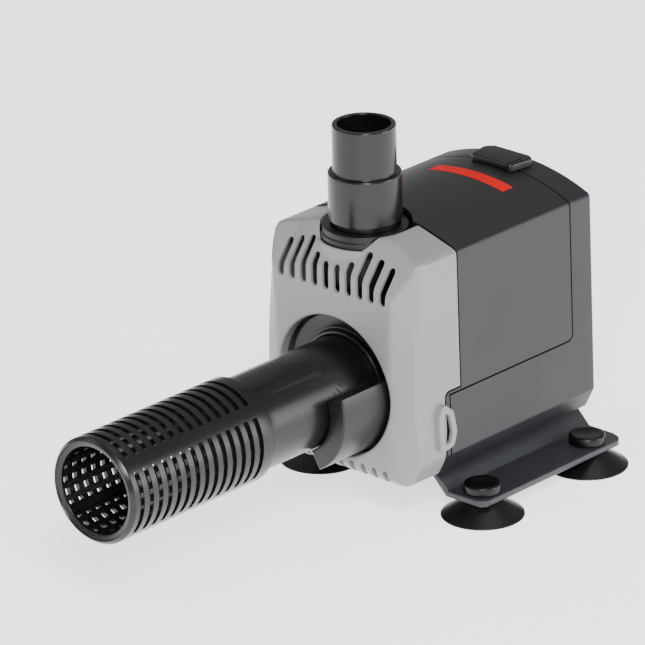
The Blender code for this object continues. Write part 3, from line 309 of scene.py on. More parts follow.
def dense(path, spacing, closed=True):
    """The same path with extra points, so that no step is longer than the spacing."""
    p = np.asarray(path, dtype=float)
    if closed:
        p = np.vstack([p, p[:1]])
    length = np.concatenate([[0], np.cumsum(np.linalg.norm(np.diff(p, axis=0), axis=1))])
    steps = np.maximum(1, np.ceil(np.diff(length) / spacing)).astype(int)
    marks = np.concatenate([np.linspace(length[i], length[i + 1], steps[i], endpoint=False)
                            for i in range(len(steps))] + [length[-1:]])
    if closed:
        marks = marks[:-1]
    return np.stack([np.interp(marks, length, p[:, k]) for k in range(2)], axis=1)


square = soften([(0, 0), (10, 0), (10, 10), (0, 10)], 2.0)
print("a square with soft corners has", len(square), "points")


# %% Turned pieces and slabs
def turned_grid(profile, columns=96, axis='Z', centre=(0.0, 0.0)):
    """Surface of revolution: profile point (r, h) and angle a give (r sin a, r cos a) across, h along.

    Axis Z stands up at (x, y) = centre.  Axis Y lies along the pump at (x, z) = centre.
    """
    r, h = np.asarray(profile, dtype=float).T
    angle = np.linspace(0, 2 * np.pi, columns, endpoint=False)
    across = r[:, None] * np.sin(angle)[None]
    up = r[:, None] * np.cos(angle)[None]
    along = np.repeat(h[:, None], columns, axis=1)
    if axis == 'Z':
        return np.stack([centre[0] + across, centre[1] + up, along], axis=-1)
    return np.stack([centre[0] + across, along, centre[1] + up], axis=-1)


def turned(name, profile, columns=96, axis='Z', centre=(0.0, 0.0)):
    """Closed turned solid.  A profile that ends on the axis closes there, and any other joins up."""
    closes = profile[0][0] > 1e-6
    return mesh_of(name, [(turned_grid(profile, columns, axis, centre), closes, True)])


def slab_grid(outline, low, high, edge, steps=4):
    """Outline swept from low to high; near both ends it draws in by edge * (1 - sin t).

    The height there is edge * (1 - cos t) from the end, for t from 0 to a quarter turn.
    """
    t = np.linspace(0, np.pi / 2, steps + 1)
    inset = edge * (1 - np.sin(t))
    rise = edge * (1 - np.cos(t))
    levels = np.concatenate([low + rise, high - rise[::-1]])
    insets = np.concatenate([inset, inset[::-1]])
    rings = [np.column_stack([inward(outline, d), np.full(len(outline), level)])
             for d, level in zip(insets, levels)]
    return np.stack(rings)


def slab(name, outline, low, high, edge=0.3, axis='Z', steps=4):
    """Flat piece with soft edges, on an outline in (x, y), (x, z) for axis Y or (y, z) for axis X."""
    grid = slab_grid(outline, low, high, edge, steps)
    order = {'Z': (0, 1, 2), 'Y': (0, 2, 1), 'X': (2, 0, 1)}[axis]
    return mesh_of(name, [(grid[..., order], False, True)], ends=("caps",))


def stadium(centre, low, high, radius, steps=8):
    """Upright slot outline with half-round ends, anticlockwise."""
    t = np.linspace(0, np.pi, steps + 1)
    top = np.column_stack([centre + radius * np.cos(t), high - radius + radius * np.sin(t)])
    foot = np.column_stack([centre - radius * np.cos(t), low + radius - radius * np.sin(t)])
    return np.vstack([top, foot])


SLIVER = 0.005 * MM


def combine(name, mesh, tools, operation):
    """Mesh cut by, or joined with, tool meshes in one exact Boolean each.

    The tools are used up, and edges shorter than SLIVER, which a grazing cut leaves, are dissolved.
    """
    body = bpy.data.objects.new(name, mesh)
    bpy.context.scene.collection.objects.link(body)
    helpers = []
    for tool in tools:
        helper = bpy.data.objects.new("tool", tool)
        bpy.context.scene.collection.objects.link(helper)
        step = body.modifiers.new("step", 'BOOLEAN')
        step.operation = operation
        step.solver = 'EXACT'
        step.object = helper
        helpers.append(helper)
    bpy.context.view_layer.update()
    graph = bpy.context.evaluated_depsgraph_get()
    result = bpy.data.meshes.new_from_object(body.evaluated_get(graph))
    result.name = name
    bm = bmesh.new()
    bm.from_mesh(result)
    bmesh.ops.dissolve_degenerate(bm, dist=SLIVER, edges=bm.edges)
    bm.to_mesh(result)
    bm.free()
    for helper in helpers + [body]:
        bpy.data.objects.remove(helper)
    return result


def without_fins(mesh):
    """Same mesh in triangles, less every two that share all three corners.

    Such a pair is a fin: it folds flat on itself where a cut leaves three points on one line.
    """
    mesh.calc_loop_triangles()
    corners = np.empty(len(mesh.loop_triangles) * 3, dtype=np.int32)
    mesh.loop_triangles.foreach_get("vertices", corners)
    corners = corners.reshape(-1, 3)
    _, group, count = np.unique(np.sort(corners, axis=1), axis=0, return_inverse=True,
                                return_counts=True)
    corners = corners[count[group.ravel()] == 1]
    points = np.empty(len(mesh.vertices) * 3, dtype=np.float32)
    mesh.vertices.foreach_get("co", points)
    used, renumbered = np.unique(corners, return_inverse=True)
    clean = bpy.data.meshes.new(mesh.name)
    faces = renumbered.reshape(-1, 3).tolist()
    clean.from_pydata(points.reshape(-1, 3)[used].tolist(), [], faces)
    return clean


def merged(meshes, name="tools"):
    """Several closed meshes as one, for tools that repeat."""
    bm = bmesh.new()
    for mesh in meshes:
        bm.from_mesh(mesh)
        bpy.data.meshes.remove(mesh)
    whole = bpy.data.meshes.new(name)
    bm.to_mesh(whole)
    bm.free()
    return whole


test = turned("test", [(0, 2), (5, 2), (5, 0), (0, 0)], 24)
print("a turned disc has", len(test.polygons), "faces")
bpy.data.meshes.remove(test)

# %% [markdown]
# ## Finishes
#
# Moulded plastic isn't one flat colour.  Its colour drifts a little across a panel, the tool leaves a
# fine grain, and its gloss changes slightly from place to place.  All of that comes from noise on the
# object's own coordinates, which stay put when a piece moves.  A value that is the same all over is
# set on the shader itself.


# %% Moulded plastic, rubber and ceramic
BROAD_SCALE = 45.0                                   # patches of about 20 mm


def new_finish(name):
    """Material with its nodes, links, shader and a mapping of the object's own coordinates."""
    finish = bpy.data.materials.new(name)
    finish.use_nodes = True
    nodes = finish.node_tree.nodes
    links = finish.node_tree.links
    place = nodes.new("ShaderNodeTexCoord")
    mapping = nodes.new("ShaderNodeMapping")
    links.new(place.outputs["Object"], mapping.inputs["Vector"])
    return finish, nodes, links, nodes["Principled BSDF"], mapping


def noise(nodes, links, place, scale, detail):
    texture = nodes.new("ShaderNodeTexNoise")
    set_values(texture, {"Scale": scale, "Detail": detail})
    links.new(place.outputs[0], texture.inputs["Vector"])
    return texture.outputs["Fac"]


def spread(nodes, links, source, low, high):
    """Map a noise's middle half onto low to high."""
    scale = nodes.new("ShaderNodeMapRange")
    set_values(scale, {"From Min": 0.3, "From Max": 0.7, "To Min": low, "To Max": high})
    links.new(source, scale.inputs["Value"])
    return scale.outputs["Result"]


def blend(nodes, links, source, dark, light, shader):
    """Base colour that runs from dark to light with the source."""
    mix = nodes.new("ShaderNodeMix")
    mix.data_type = 'RGBA'
    set_values(mix, {"A": (*dark, 1), "B": (*light, 1)})
    links.new(source, mix.inputs["Factor"])
    links.new(mix.outputs["Result"], shader.inputs["Base Color"])


def relief(nodes, links, source, depth, shader, beneath=None):
    """Bump of a depth in millimetres, over another normal if there is one."""
    bump = nodes.new("ShaderNodeBump")
    set_values(bump, {"Strength": 1.0, "Distance": depth * MM})
    links.new(source, bump.inputs["Height"])
    if beneath:
        links.new(beneath, bump.inputs["Normal"])
    links.new(bump.outputs["Normal"], shader.inputs["Normal"])


def moulded(name, colour, roughness, drift=0.05, grain=0.02, grain_size=0.35, specular=0.5,
            metallic=0.0, edge=0.25):
    """Plastic or rubber: colour drift and gloss drift from broad noise, tool grain from fine noise.

    Drift is a share of the colour; grain, grain size and the rounding of edges are millimetres.
    """
    finish, nodes, links, shader, mapping = new_finish(name)
    set_values(shader, {"Metallic": metallic, "Specular IOR Level": specular})
    broad = noise(nodes, links, mapping, BROAD_SCALE, 3.0)
    fine = noise(nodes, links, mapping, 1.0 / (grain_size * MM), 2.0)
    dark = [channel * (1 - drift) for channel in colour]
    light = [min(1, channel * (1 + drift)) for channel in colour]
    blend(nodes, links, spread(nodes, links, broad, 0.0, 1.0), dark, light, shader)
    gloss = spread(nodes, links, broad, roughness * 0.93, roughness * 1.07)
    links.new(gloss, shader.inputs["Roughness"])
    rounded = None
    if edge:
        rounding = nodes.new("ShaderNodeBevel")
        rounding.samples = 4
        set_values(rounding, {"Radius": edge * MM})
        rounded = rounding.outputs["Normal"]
    relief(nodes, links, fine, grain, shader, rounded)
    finish.diffuse_color = (*colour, 1)
    return finish


COVER_GREY = moulded("cover_satin_grey", (0.225, 0.230, 0.238), 0.36, 0.03, 0.012, 0.30, edge=0.35)
HOOD_BLACK = moulded("hood_satin_black", (0.007, 0.007, 0.0085), 0.44, 0.10, 0.02, 0.35)
SHELL_GREY = moulded("shell_fine_grain", (0.008, 0.008, 0.011), 0.46, 0.10, 0.03, 0.35)
LATCH_BLACK = moulded("latch_black", (0.005, 0.005, 0.0055), 0.32, 0.10, 0.01, 0.35, specular=0.4)
NOZZLE_BLACK = moulded("nozzle_gloss_black", (0.005, 0.0045, 0.005), 0.24, 0.10, 0.006, 0.5,
                       specular=0.45)
STRAINER_BLACK = moulded("strainer_gloss_black", (0.005, 0.0045, 0.0055), 0.28, 0.12, 0.008, 0.5,
                         specular=0.45)
REGULATOR_BLACK = moulded("regulator_satin_black", (0.006, 0.0055, 0.006), 0.32, 0.12, 0.010, 0.4,
                          specular=0.45)
CHAMBER_BLACK = moulded("chamber_black", (0.006, 0.006, 0.0065), 0.40, 0.10, 0.015, 0.4, specular=0.4)
PLATE_GREY = moulded("plate_blue_grey", (0.026, 0.028, 0.033), 0.42, 0.08, 0.015, 0.35, edge=0.35)
CUP_RUBBER = moulded("cup_rubber", (0.003, 0.003, 0.003), 0.34, 0.15, 0.012, 0.5, specular=0.35,
                     edge=0.15)
GLAND_RUBBER = moulded("gland_rubber", (0.005, 0.005, 0.005), 0.50, 0.15, 0.02, 0.5)
SEAL_RUBBER = moulded("seal_rubber", (0.004, 0.004, 0.004), 0.45, 0.15, 0.01, 0.5, edge=0)
CERAMIC = moulded("ceramic_white", (0.80, 0.79, 0.75), 0.18, 0.02, 0.004, 0.2, edge=0)
FERRITE = moulded("ferrite_ground", (0.03, 0.03, 0.033), 0.5, 0.15, 0.02, 0.25, metallic=0.3)
IMPELLER_WHITE = moulded("impeller_white", (0.62, 0.63, 0.60), 0.38, 0.03, 0.01, 0.35)
RESIN = moulded("cast_resin", (0.012, 0.012, 0.014), 0.25, 0.1, 0.01, 0.8, edge=0)
print("finishes:", len(bpy.data.materials))

# %% [markdown]
# ## Front cover
#
# The cover is one grey moulding with flat facets that run into each other over soft edges: a front
# face, a facet on either side of it, two side walls, a slope above, a flat top and an underside.  The
# bend between the front face and the slope isn't straight: it arches up towards the middle, so that
# the slope meets the outlet's collar higher.  A box with bevels would give every edge the same radius
# and every facet the same tilt.  Here the skin is where a smooth maximum of the facets' distances is
# zero, so the edges blend by themselves and the widths may change with height.  The skin is found
# along lines that leave the round mouth, so the mouth's rim is a row of the grid and needs no cutting.

# %% The cover's facets
MOUTH_RADIUS = 25.3
MOUTH_RIM = 4.6
COVER_WALL = 2.6
COVER_BEND = 87.4
COVER_SLOPE = 11.5 / 8.9
BEND_RISE = 4.9
BEND_HALF = 22.8
COVER_FLAT = 103.4
COVER_FLAT_HALF = 15.3
SHOULDER = 98.0
SHOULDER_HALF = 33.0
BODY_LOW = 25.5
BODY_LOW_HALF = 34.6
BODY_FOOT_HALF = 30.5
FOOT_CUT = 3.4
SHARPNESS = 2.2


def front_half(z):
    """Half width of the front face: it grows with the square of the height from mid height."""
    return 25.6 + 0.0014 * (z - 50) ** 2


def side_start(z):
    """Depth at which the side wall begins, nearest the front at mid height."""
    return -13.8 + 0.0022 * (z - 52) ** 2


def side_half(z):
    """Half width of the side wall, leaning in a little towards the shoulder."""
    return BODY_LOW_HALF + (SHOULDER_HALF - BODY_LOW_HALF) * (z - BODY_LOW) / (SHOULDER - BODY_LOW)


def bend_rise(x):
    """How far the bend and the slope above it rise towards the middle: a parabola in x."""
    return BEND_RISE * np.maximum(0.0, 1 - (np.asarray(x) / BEND_HALF) ** 2)


def cover_field(x, y, z, foot_cut=FOOT_CUT):
    """Smooth maximum, log(sum(exp(k d))) / k, of the signed distances d to the facets."""
    x, y, z = np.broadcast_arrays(x, y, z)
    width = np.abs(x)
    run = side_half(z) - front_half(z)
    fall = side_start(z) - COVER_FRONT
    facet = ((width - front_half(z)) * fall - (y - COVER_FRONT) * run) / np.hypot(run, fall)
    slope = z - bend_rise(x) - COVER_BEND - COVER_SLOPE * (y - COVER_FRONT)
    slope /= math.hypot(1, COVER_SLOPE)
    drop = COVER_FLAT - SHOULDER
    reach = SHOULDER_HALF - COVER_FLAT_HALF
    crown = ((width - COVER_FLAT_HALF) * drop + (z - COVER_FLAT) * reach) / math.hypot(drop, reach)
    rise = BODY_LOW - BODY_BOTTOM
    flare = BODY_LOW_HALF - BODY_FOOT_HALF
    chamfer = ((width - BODY_FOOT_HALF) * rise - (z - BODY_BOTTOM) * flare) / math.hypot(rise, flare)
    toe = (COVER_FRONT - y + BODY_BOTTOM - z + foot_cut) / math.sqrt(2)
    planes = np.stack([COVER_FRONT - y, facet, width - side_half(z), slope, z - COVER_FLAT, crown,
                       BODY_BOTTOM - z, chamfer, toe])
    highest = planes.max(axis=0)
    return highest + np.log(np.exp(SHARPNESS * (planes - highest)).sum(axis=0)) / SHARPNESS


def solve(field, low, high, steps=34):
    """Halve the span between low and high until the field crosses zero, for every point at once."""
    low = np.array(low, dtype=float)
    high = np.array(high, dtype=float)
    for _ in range(steps):
        middle = (low + high) / 2
        outside = field(middle) > 0
        high = np.where(outside, middle, high)
        low = np.where(outside, low, middle)
    return (low + high) / 2


print("field on the front face:", round(float(cover_field(0.0, COVER_FRONT, 60.0)), 3))


# %% The cover's skin
def cover_skin(depth, columns, tilt_rows, side_rows, rear, first_radius):
    """Rows of the skin at a depth inside the facets, from a circle round the mouth to the rear.

    The first row is where the cylinder of the first radius meets the skin.  From there a line from the
    middle point (0, 0, AXIS) at tilt t and turn a goes along (sin t sin a, -cos t, sin t cos a) until
    the field equals -depth.  Past t = 90 degrees the rows are level sections y = constant instead.
    """
    cut = FOOT_CUT if depth == 0 else FOOT_CUT / 3
    turn = np.linspace(0, 2 * np.pi, columns, endpoint=False)[None]
    across, up = np.sin(turn), np.cos(turn)
    ring_x, ring_z = first_radius * across, AXIS + first_radius * up
    first = -solve(lambda y: cover_field(ring_x, -y, ring_z, cut) + depth,
                   np.zeros((1, columns)), np.full((1, columns), 40.0))
    start = np.arctan2(first_radius, -first)
    tilt = start + (np.pi / 2 - start) * np.linspace(0, 1, tilt_rows)[:, None]
    way = np.stack(np.broadcast_arrays(np.sin(tilt) * across, -np.cos(tilt), np.sin(tilt) * up))
    distance = solve(lambda r: cover_field(r * way[0], r * way[1], AXIS + r * way[2], cut) + depth,
                     np.full(way.shape[1:], 5.0), np.full(way.shape[1:], 90.0))
    front = np.stack([distance * way[0], distance * way[1], AXIS + distance * way[2]], axis=-1)
    y = np.linspace(0, rear, side_rows + 1)[1:, None]
    radius = solve(lambda r: cover_field(r * across, y, AXIS + r * up, cut) + depth,
                   np.full((side_rows, columns), 5.0), np.full((side_rows, columns), 90.0))
    side = np.stack([radius * across, np.broadcast_to(y, radius.shape), AXIS + radius * up], axis=-1)
    return np.vstack([front, side])


def cover_body(columns=360):
    """Outer skin, rolled mouth rim and inner skin as one closed grid."""
    outer = cover_skin(0.0, columns, 84, 9, COVER_SEAM, MOUTH_RADIUS + 1.0)
    inner = cover_skin(COVER_WALL, columns, 30, 4, COVER_SEAM, MOUTH_RADIUS + 2.0)
    t = np.linspace(0, np.pi / 2, 6)[1:]
    lip = np.column_stack([MOUTH_RADIUS + 1.0 - np.sin(t), COVER_FRONT + 1.0 - np.cos(t)])
    rim_end = COVER_FRONT + MOUTH_RIM
    lip = np.vstack([lip, [(MOUTH_RADIUS, rim_end - 0.3), (MOUTH_RADIUS + 0.3, rim_end),
                           (MOUTH_RADIUS + 1.7, rim_end), (MOUTH_RADIUS + 2.0, rim_end - 0.3)]])
    rim = turned_grid(lip, columns, 'Y', (0.0, AXIS))
    rim[:len(t), :, 1] += outer[:1, :, 1] - COVER_FRONT
    return mesh_of("cover", [(np.vstack([outer[::-1], rim, inner]), True, True)])


# %% [markdown]
# The cover is then pierced: ten vents over the bend, ten in its foot, a round notch for the outlet
# with a collar round its front half, and a finger loop on each side.  Behind the upper vents the wall
# is thinner, as a moulder keeps it, so that one can see into the pump through them.  Each tool is
# itself a small surface, and one exact Boolean takes all tools of a kind together.

# %% Vents, notch, loops and the stepped seam
SOCKET_SKIRT = 15.4
COLLAR_TOP = 98.6
STEP_TOP = 49.0
STEP_DEPTH = 8.0
STEP_ROUND = 2.6
VENT_COUNT = 10
VENT_PITCH = 5.15
VENT_RADIUS = 1.45
VENT_LOW = 83.4
VENT_RUNS = (0.9, 2.6, 6.3, 6.3, 6.3)                # over the bend, from the middle outwards
FOOT_VENT_RADIUS = 1.2
FOOT_VENT_RISE = 5.6
VENT_SKIN = 1.2
POCKET_DEPTH = 4.6


def vent_tools():
    """Slot i stands at (i - 4.5) * pitch; its run over the bend is short in front of the collar."""
    tools = []
    for i in range(VENT_COUNT):
        place = i - (VENT_COUNT - 1) / 2
        x = place * VENT_PITCH
        run = VENT_RUNS[int(abs(place))]
        top = COVER_BEND + float(bend_rise(x)) + run * COVER_SLOPE
        upper = stadium(x, VENT_LOW, top, VENT_RADIUS)
        lower = stadium(x, BODY_BOTTOM - 4.0, BODY_BOTTOM + FOOT_VENT_RISE, FOOT_VENT_RADIUS)
        for outline, back in ((upper, COVER_FRONT + run + 5.0), (lower, COVER_FRONT + 5.2)):
            tools.append(slab("vent", outline, COVER_FRONT - 2.0, back, CORNER, 'Y', 1))
    return merged(tools)


def arched(name, outline, half, stations=25):
    """Outline in (y, z) carried along x; its points from the vents' foot upwards rise with the bend."""
    x = np.linspace(-half, half, stations)[:, None]
    rise = bend_rise(x) * (outline[None, :, 1] > VENT_LOW - 1.0)
    grid = np.stack(np.broadcast_arrays(x, outline[None, :, 0], outline[None, :, 1] + rise), axis=-1)
    return mesh_of(name, [(grid, False, True)], ends=("caps",))


def slope_point(y, depth):
    """Point (y, z) under the slope, at y behind the front face and at a depth square to the slope."""
    return COVER_FRONT + y, COVER_BEND + COVER_SLOPE * y - depth * math.hypot(1, COVER_SLOPE)


def vent_pocket():
    """Thins the wall behind the vents: a band that follows the bend, VENT_SKIN inside the skin."""
    outer = [slope_point(y, VENT_SKIN) for y in (10.0, VENT_SKIN)]
    inner = [slope_point(y, POCKET_DEPTH) for y in (POCKET_DEPTH, 13.4)]
    foot = [(COVER_FRONT + y, VENT_LOW - 1.5) for y in (VENT_SKIN, POCKET_DEPTH)]
    half = VENT_PITCH * (VENT_COUNT - 1) / 2 + VENT_RADIUS + 1.3
    return arched("pocket", np.array(foot + inner + outer), half)


LOOP_ROUND = 2.2
LOOP_BAR = 2.4
LOOP_PROUD = 1.4


def loop_outline(inset):
    """Leaning D of the finger loop in (y, z)."""
    front, back = -4.3, COVER_SEAM - STEP_DEPTH + 4.0
    low, high = 28.0, 46.2
    height = high - low
    corners = [(front + 0.8, low), (back - 1.6, low + 0.06 * height), (back, low + 0.35 * height),
               (back - 1.8, low + 0.78 * height), (front + 2.6, high), (front, low + 0.75 * height)]
    return soften(inward(corners, inset), max(0.8, LOOP_ROUND - inset), 6)


def both_sides(make):
    """The same tool on the right and, mirrored, on the left."""
    right = make()
    left = make()
    left.transform([[-1, 0, 0, 0], [0, 1, 0, 0], [0, 0, 1, 0], [0, 0, 0, 1]])
    left.flip_normals()
    return merged([right, left])


def notch_outline(radius, back, steps=47):
    """Half circle round the nozzle's front, with straight sides running back."""
    t = np.linspace(np.pi, 2 * np.pi, steps + 1)
    front = np.column_stack([radius * np.cos(t), radius * np.sin(t)])
    return np.vstack([front, [(radius, back), (-radius, back)]])


def collar():
    """Band round the front half of the notch, cut off a little under the slope that it stands on."""
    notch = SOCKET_SKIRT + FIT
    outer = notch_outline(notch + 1.0, COVER_SEAM - 0.02)
    inner = notch_outline(notch - 0.02, COVER_SEAM - 0.02)
    band = np.vstack([outer[:-1], inner[-2::-1], inner[-1:], outer[-1:]])
    band = slab("collar", band, COVER_BEND - 1.2, COLLAR_TOP, 0.25, 'Z', 3)
    line = [(y, COVER_BEND + COVER_SLOPE * (y - COVER_FRONT) - 1.6) for y in (12.0, COVER_FRONT - 2.0)]
    beneath = np.array([(COVER_FRONT - 2.0, 75.0), (12.0, 75.0)] + line)
    return combine("collar", band, [arched("beneath", beneath, 20.0)], 'DIFFERENCE')


def front_cover():
    """Body less its hollows, with collar and loops joined on, less windows, rear step and vents."""
    opening = slab("opening", notch_outline(SOCKET_SKIRT + FIT, 20.0), COVER_BEND - 5.0, 115.0, CORNER,
                   'Z', 1)
    half = BODY_LOW_HALF + FIT
    loops = both_sides(lambda: slab("loop", loop_outline(0.0), half - 2.0, half + LOOP_PROUD, 0.4, 'X'))
    windows = both_sides(lambda: slab("window", loop_outline(LOOP_BAR), half - 0.1, half + 5.0, CORNER,
                                      'X', 1))
    front, low, back = COVER_SEAM - STEP_DEPTH, 5.0, 30.0
    step = soften([(front, low), (back, low), (back, STEP_TOP), (front, STEP_TOP)],
                  np.array([CORNER] * 3 + [STEP_ROUND]), 6)
    behind = slab("behind", step, -half, half, CORNER, 'X', 1)
    name = "front_cover_moulding"
    mesh = combine(name, cover_body(), [vent_pocket(), opening], 'DIFFERENCE')
    mesh = combine(name, mesh, [collar(), loops], 'UNION')
    mesh = combine(name, mesh, [windows, behind], 'DIFFERENCE')
    mesh = combine(name, mesh, [vent_tools()], 'DIFFERENCE')
    return add_piece(name, without_fins(mesh), COVER_GREY)


def stand_in(piece, body, node):
    """The piece rides on a body and hides a CAD node, and its number of faces is printed."""
    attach(piece, body)
    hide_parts(node)
    print(piece.name + ":", len(piece.data.polygons), "faces")
    return piece


stand_in(front_cover(), "cover", "front_cover")

# %% [markdown]
# ## Motor casing
#
# A hood and a rear shell make the motor's casing.  Two separately drawn shapes would not quite meet,
# so both come from one outline with an arched crown.  It is swept along the pump, hollowed by the
# same outline drawn in by the wall, and kept only inside the piece's own region, seen from the side.
# The space between the two regions is the seam.

# %% Casing outline and side regions
WALL = 2.0
STRIP = 1.7
SHELL_SEAM = 47.6
REAR_SEAM = 68.0
BELOW = BODY_BOTTOM - 5.0
ABOVE = CROWN + 5.0
STRIP_FRONT = COVER_SEAM - STEP_DEPTH + SEAM
STRIP_BACK = STRIP_FRONT + STRIP


def crown_height(x):
    """Circle through the crown and both shoulders: z = CROWN - R + sqrt(R^2 - x^2)."""
    rise = CROWN - SHOULDER
    radius = (SHOULDER_HALF ** 2 + rise ** 2) / (2 * rise)
    return CROWN - radius + np.sqrt(radius ** 2 - np.asarray(x, dtype=float) ** 2)


def casing_outline(inset=0.0):
    """Cross-section (x, z) of the casing, drawn in by an inset before its corners are rounded."""
    x = np.concatenate([[SHOULDER_HALF], np.linspace(29.5, -29.5, 37), [-SHOULDER_HALF]])
    crown = np.column_stack([x, crown_height(x)])
    corners = np.vstack([[(-BODY_FOOT_HALF, BODY_BOTTOM), (BODY_FOOT_HALF, BODY_BOTTOM),
                          (BODY_LOW_HALF, BODY_LOW)], crown, [(-BODY_LOW_HALF, BODY_LOW)]])
    radius = np.full(len(corners), CORNER)
    radius[[0, 1, 2, 3, -2, -1]] = max(0.5, 2.4 - inset)
    return soften(inward(corners, inset), radius, 6)


def hood_region():
    """Side view of the hood: a narrow strip in front of the shell, and all of the top behind it."""
    corners = [(STRIP_FRONT, BELOW), (STRIP_BACK, BELOW), (STRIP_BACK, SHELL_SEAM),
               (REAR_SEAM, SHELL_SEAM), (REAR_SEAM, ABOVE), (COVER_SEAM + SEAM, ABOVE),
               (COVER_SEAM + SEAM, STEP_TOP - SEAM), (STRIP_FRONT, STEP_TOP - SEAM)]
    return soften(corners, np.array([CORNER] * 3 + [STEP_ROUND] + [CORNER] * 3 + [STEP_ROUND]), 8)


def shell_region():
    """Side view of the rear shell: everything below and behind the hood, a seam away from it."""
    front = STRIP_BACK + SEAM
    seam = REAR_SEAM + SEAM
    corners = [(front, BELOW), (BODY_REAR + 5, BELOW), (BODY_REAR + 5, ABOVE), (seam, ABOVE),
               (seam, SHELL_SEAM - SEAM), (front, SHELL_SEAM - SEAM)]
    return soften(corners, np.array([CORNER] * 4 + [STEP_ROUND + SEAM, CORNER]), 8)


def casing(name, region, hollow_end, cut, finish):
    """Outline swept along y, minus its hollow, kept inside the side region, minus one round cut."""
    half = BODY_LOW_HALF + 5.0
    solid = slab(name, casing_outline(), -1.0, BODY_REAR, 1.4, 'Y', 5)
    hollow = slab("hollow", casing_outline(WALL), -20.0, hollow_end, CORNER, 'Y', 1)
    kept = slab("kept", region, -half, half, CORNER, 'X', 1)
    mesh = combine(name, solid, [hollow], 'DIFFERENCE')
    mesh = combine(name, mesh, [kept], 'INTERSECT')
    mesh = combine(name, mesh, [cut], 'DIFFERENCE')
    return add_piece(name, mesh, finish)


def plug(radius, low, high, axis='Z', centre=(0.0, 0.0), columns=128):
    """Solid round bar, as a tool."""
    return turned("plug", [(0, high), (radius, high), (radius, low), (0, low)], columns, axis, centre)


# %% Hood and rear shell
GLAND_HEIGHT = 84.0
GLAND_RADIUS = 5.5

notch = plug(SOCKET_SKIRT + 2 * FIT, SHOULDER - 12.0, CROWN + 10.0)
hood = casing("hood_moulding", hood_region(), REAR_SEAM + 20.0, notch, HOOD_BLACK)
stand_in(hood, "pump", "motor_hood")
hole = plug(GLAND_RADIUS + FIT, BODY_REAR - 8.0, BODY_REAR + 5.0, 'Y', (0.0, GLAND_HEIGHT), 64)
shell = casing("rear_shell_moulding", shell_region(), BODY_REAR - WALL, hole, SHELL_GREY)
stand_in(shell, "pump", "rear_shell")

# %% [markdown]
# A small plate slides over the seam in the crown, and a rubber bush in the rear wall is bored for the
# lead.  A plain printed bar marks the crown.  It is a thin patch that follows the crown's circle, since
# paint has almost no thickness of its own but has to lie exactly on the plastic.

# %% Latch, gland and printed bar
LATCH_FRONT = 64.0
LATCH_BACK = 76.5
LATCH_HALF = 9.5
LATCH_THICKNESS = 2.2
LATCH_TOP = CROWN + FIT + LATCH_THICKNESS


def box_slab(name, low, high):
    """Straight box between two corners, as a tool."""
    outline = np.array([(low[0], low[1]), (high[0], low[1]), (high[0], high[1]), (low[0], high[1])])
    return slab(name, outline, low[2], high[2], CORNER, 'Z', 1)


def crown_latch():
    """Plate with rounded corners, less the crown that it lies on and a fine groove for the nail."""
    corners = [(-LATCH_HALF, LATCH_FRONT + 0.7), (LATCH_HALF, LATCH_FRONT),
               (LATCH_HALF + 1.2, LATCH_BACK - 1.5), (LATCH_HALF - 1.5, LATCH_BACK),
               (1.5 - LATCH_HALF, LATCH_BACK), (-LATCH_HALF - 1.2, LATCH_BACK - 3.0)]
    plate = slab("latch", soften(corners, 2.5, 6), SHOULDER, LATCH_TOP, 0.9, 'Z', 5)
    bed = slab("bed", casing_outline(-FIT), LATCH_FRONT - 5.0, LATCH_BACK + 5.0, CORNER, 'Y', 1)
    groove = box_slab("groove", (LATCH_HALF - 1.7, LATCH_FRONT - 4.0, LATCH_TOP - 0.4),
                      (LATCH_HALF - 1.1, LATCH_FRONT + 8.0, LATCH_TOP + 1.0))
    mesh = combine("crown_latch", plate, [bed, groove], 'DIFFERENCE')
    return add_piece("crown_latch", mesh, LATCH_BLACK)


def lead_gland():
    """Rubber bush: profile (radius, depth behind the rear wall) with a flange and a domed mouth."""
    corners = [(4.4, 3.6), (5.5, 2.4), (7.7, 1.6), (7.7, 0.3), (5.5, 0.3), (5.5, -5.0), (3.4, -5.0),
               (3.4, 3.6)]
    profile = soften(corners, 0.5, 4) + [0.0, BODY_REAR]
    mesh = turned("lead_gland", profile, 96, 'Y', (0.0, GLAND_HEIGHT))
    return add_piece("lead_gland", mesh, GLAND_RUBBER)


def thin_sheet(name, foot, top):
    """Closed sheet between two grids of the same shape, with a band of faces round their rims."""
    rims = [np.vstack([side[0], side[1:-1, -1], side[-1, ::-1], side[-2:0:-1, 0]])
            for side in (foot, top)]
    return mesh_of(name, [(top, False, False), (foot, False, False), (np.stack(rims), False, True)])


PRINT_DEPTH = 0.1                                    # of a print's foot under the plastic
PRINT_LIFT = 0.06
PRINT_HALF = 17.0
PRINT_FRONT = 51.5
PRINT_BACK = 57.0


def printed_bar():
    """Thin sheet that follows the crown's circle over a rectangle."""
    x, y = np.meshgrid(np.linspace(-PRINT_HALF, PRINT_HALF, 35), np.linspace(PRINT_FRONT, PRINT_BACK, 4))
    ground = crown_height(x)
    foot, top = [np.stack([x, y, ground + lift], axis=-1) for lift in (-PRINT_DEPTH, PRINT_LIFT)]
    return add_piece("printed_bar", thin_sheet("printed_bar", foot, top), PRINT_RED)


stand_in(crown_latch(), "latch", "top_latch")
stand_in(lead_gland(), "pump", "cable_gland")
PRINT_RED = moulded("printed_red", (0.62, 0.002, 0.002), 0.5, 0.04, 0.006, 0.3, specular=0.15, edge=0)
bar = printed_bar()
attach(bar, "pump")
print("printed bar:", len(bar.data.polygons), "faces")

# %% [markdown]
# ## Outlet
#
# The hose nozzle is turned: two hose sizes above, and a plain spigot with a groove for its seal below.
# A turned shape needs only its profile, and each corner has its own small round, since the steps that
# a hose slides over are rounder than the rest.  It stands in a socket that belongs to the pump chamber.

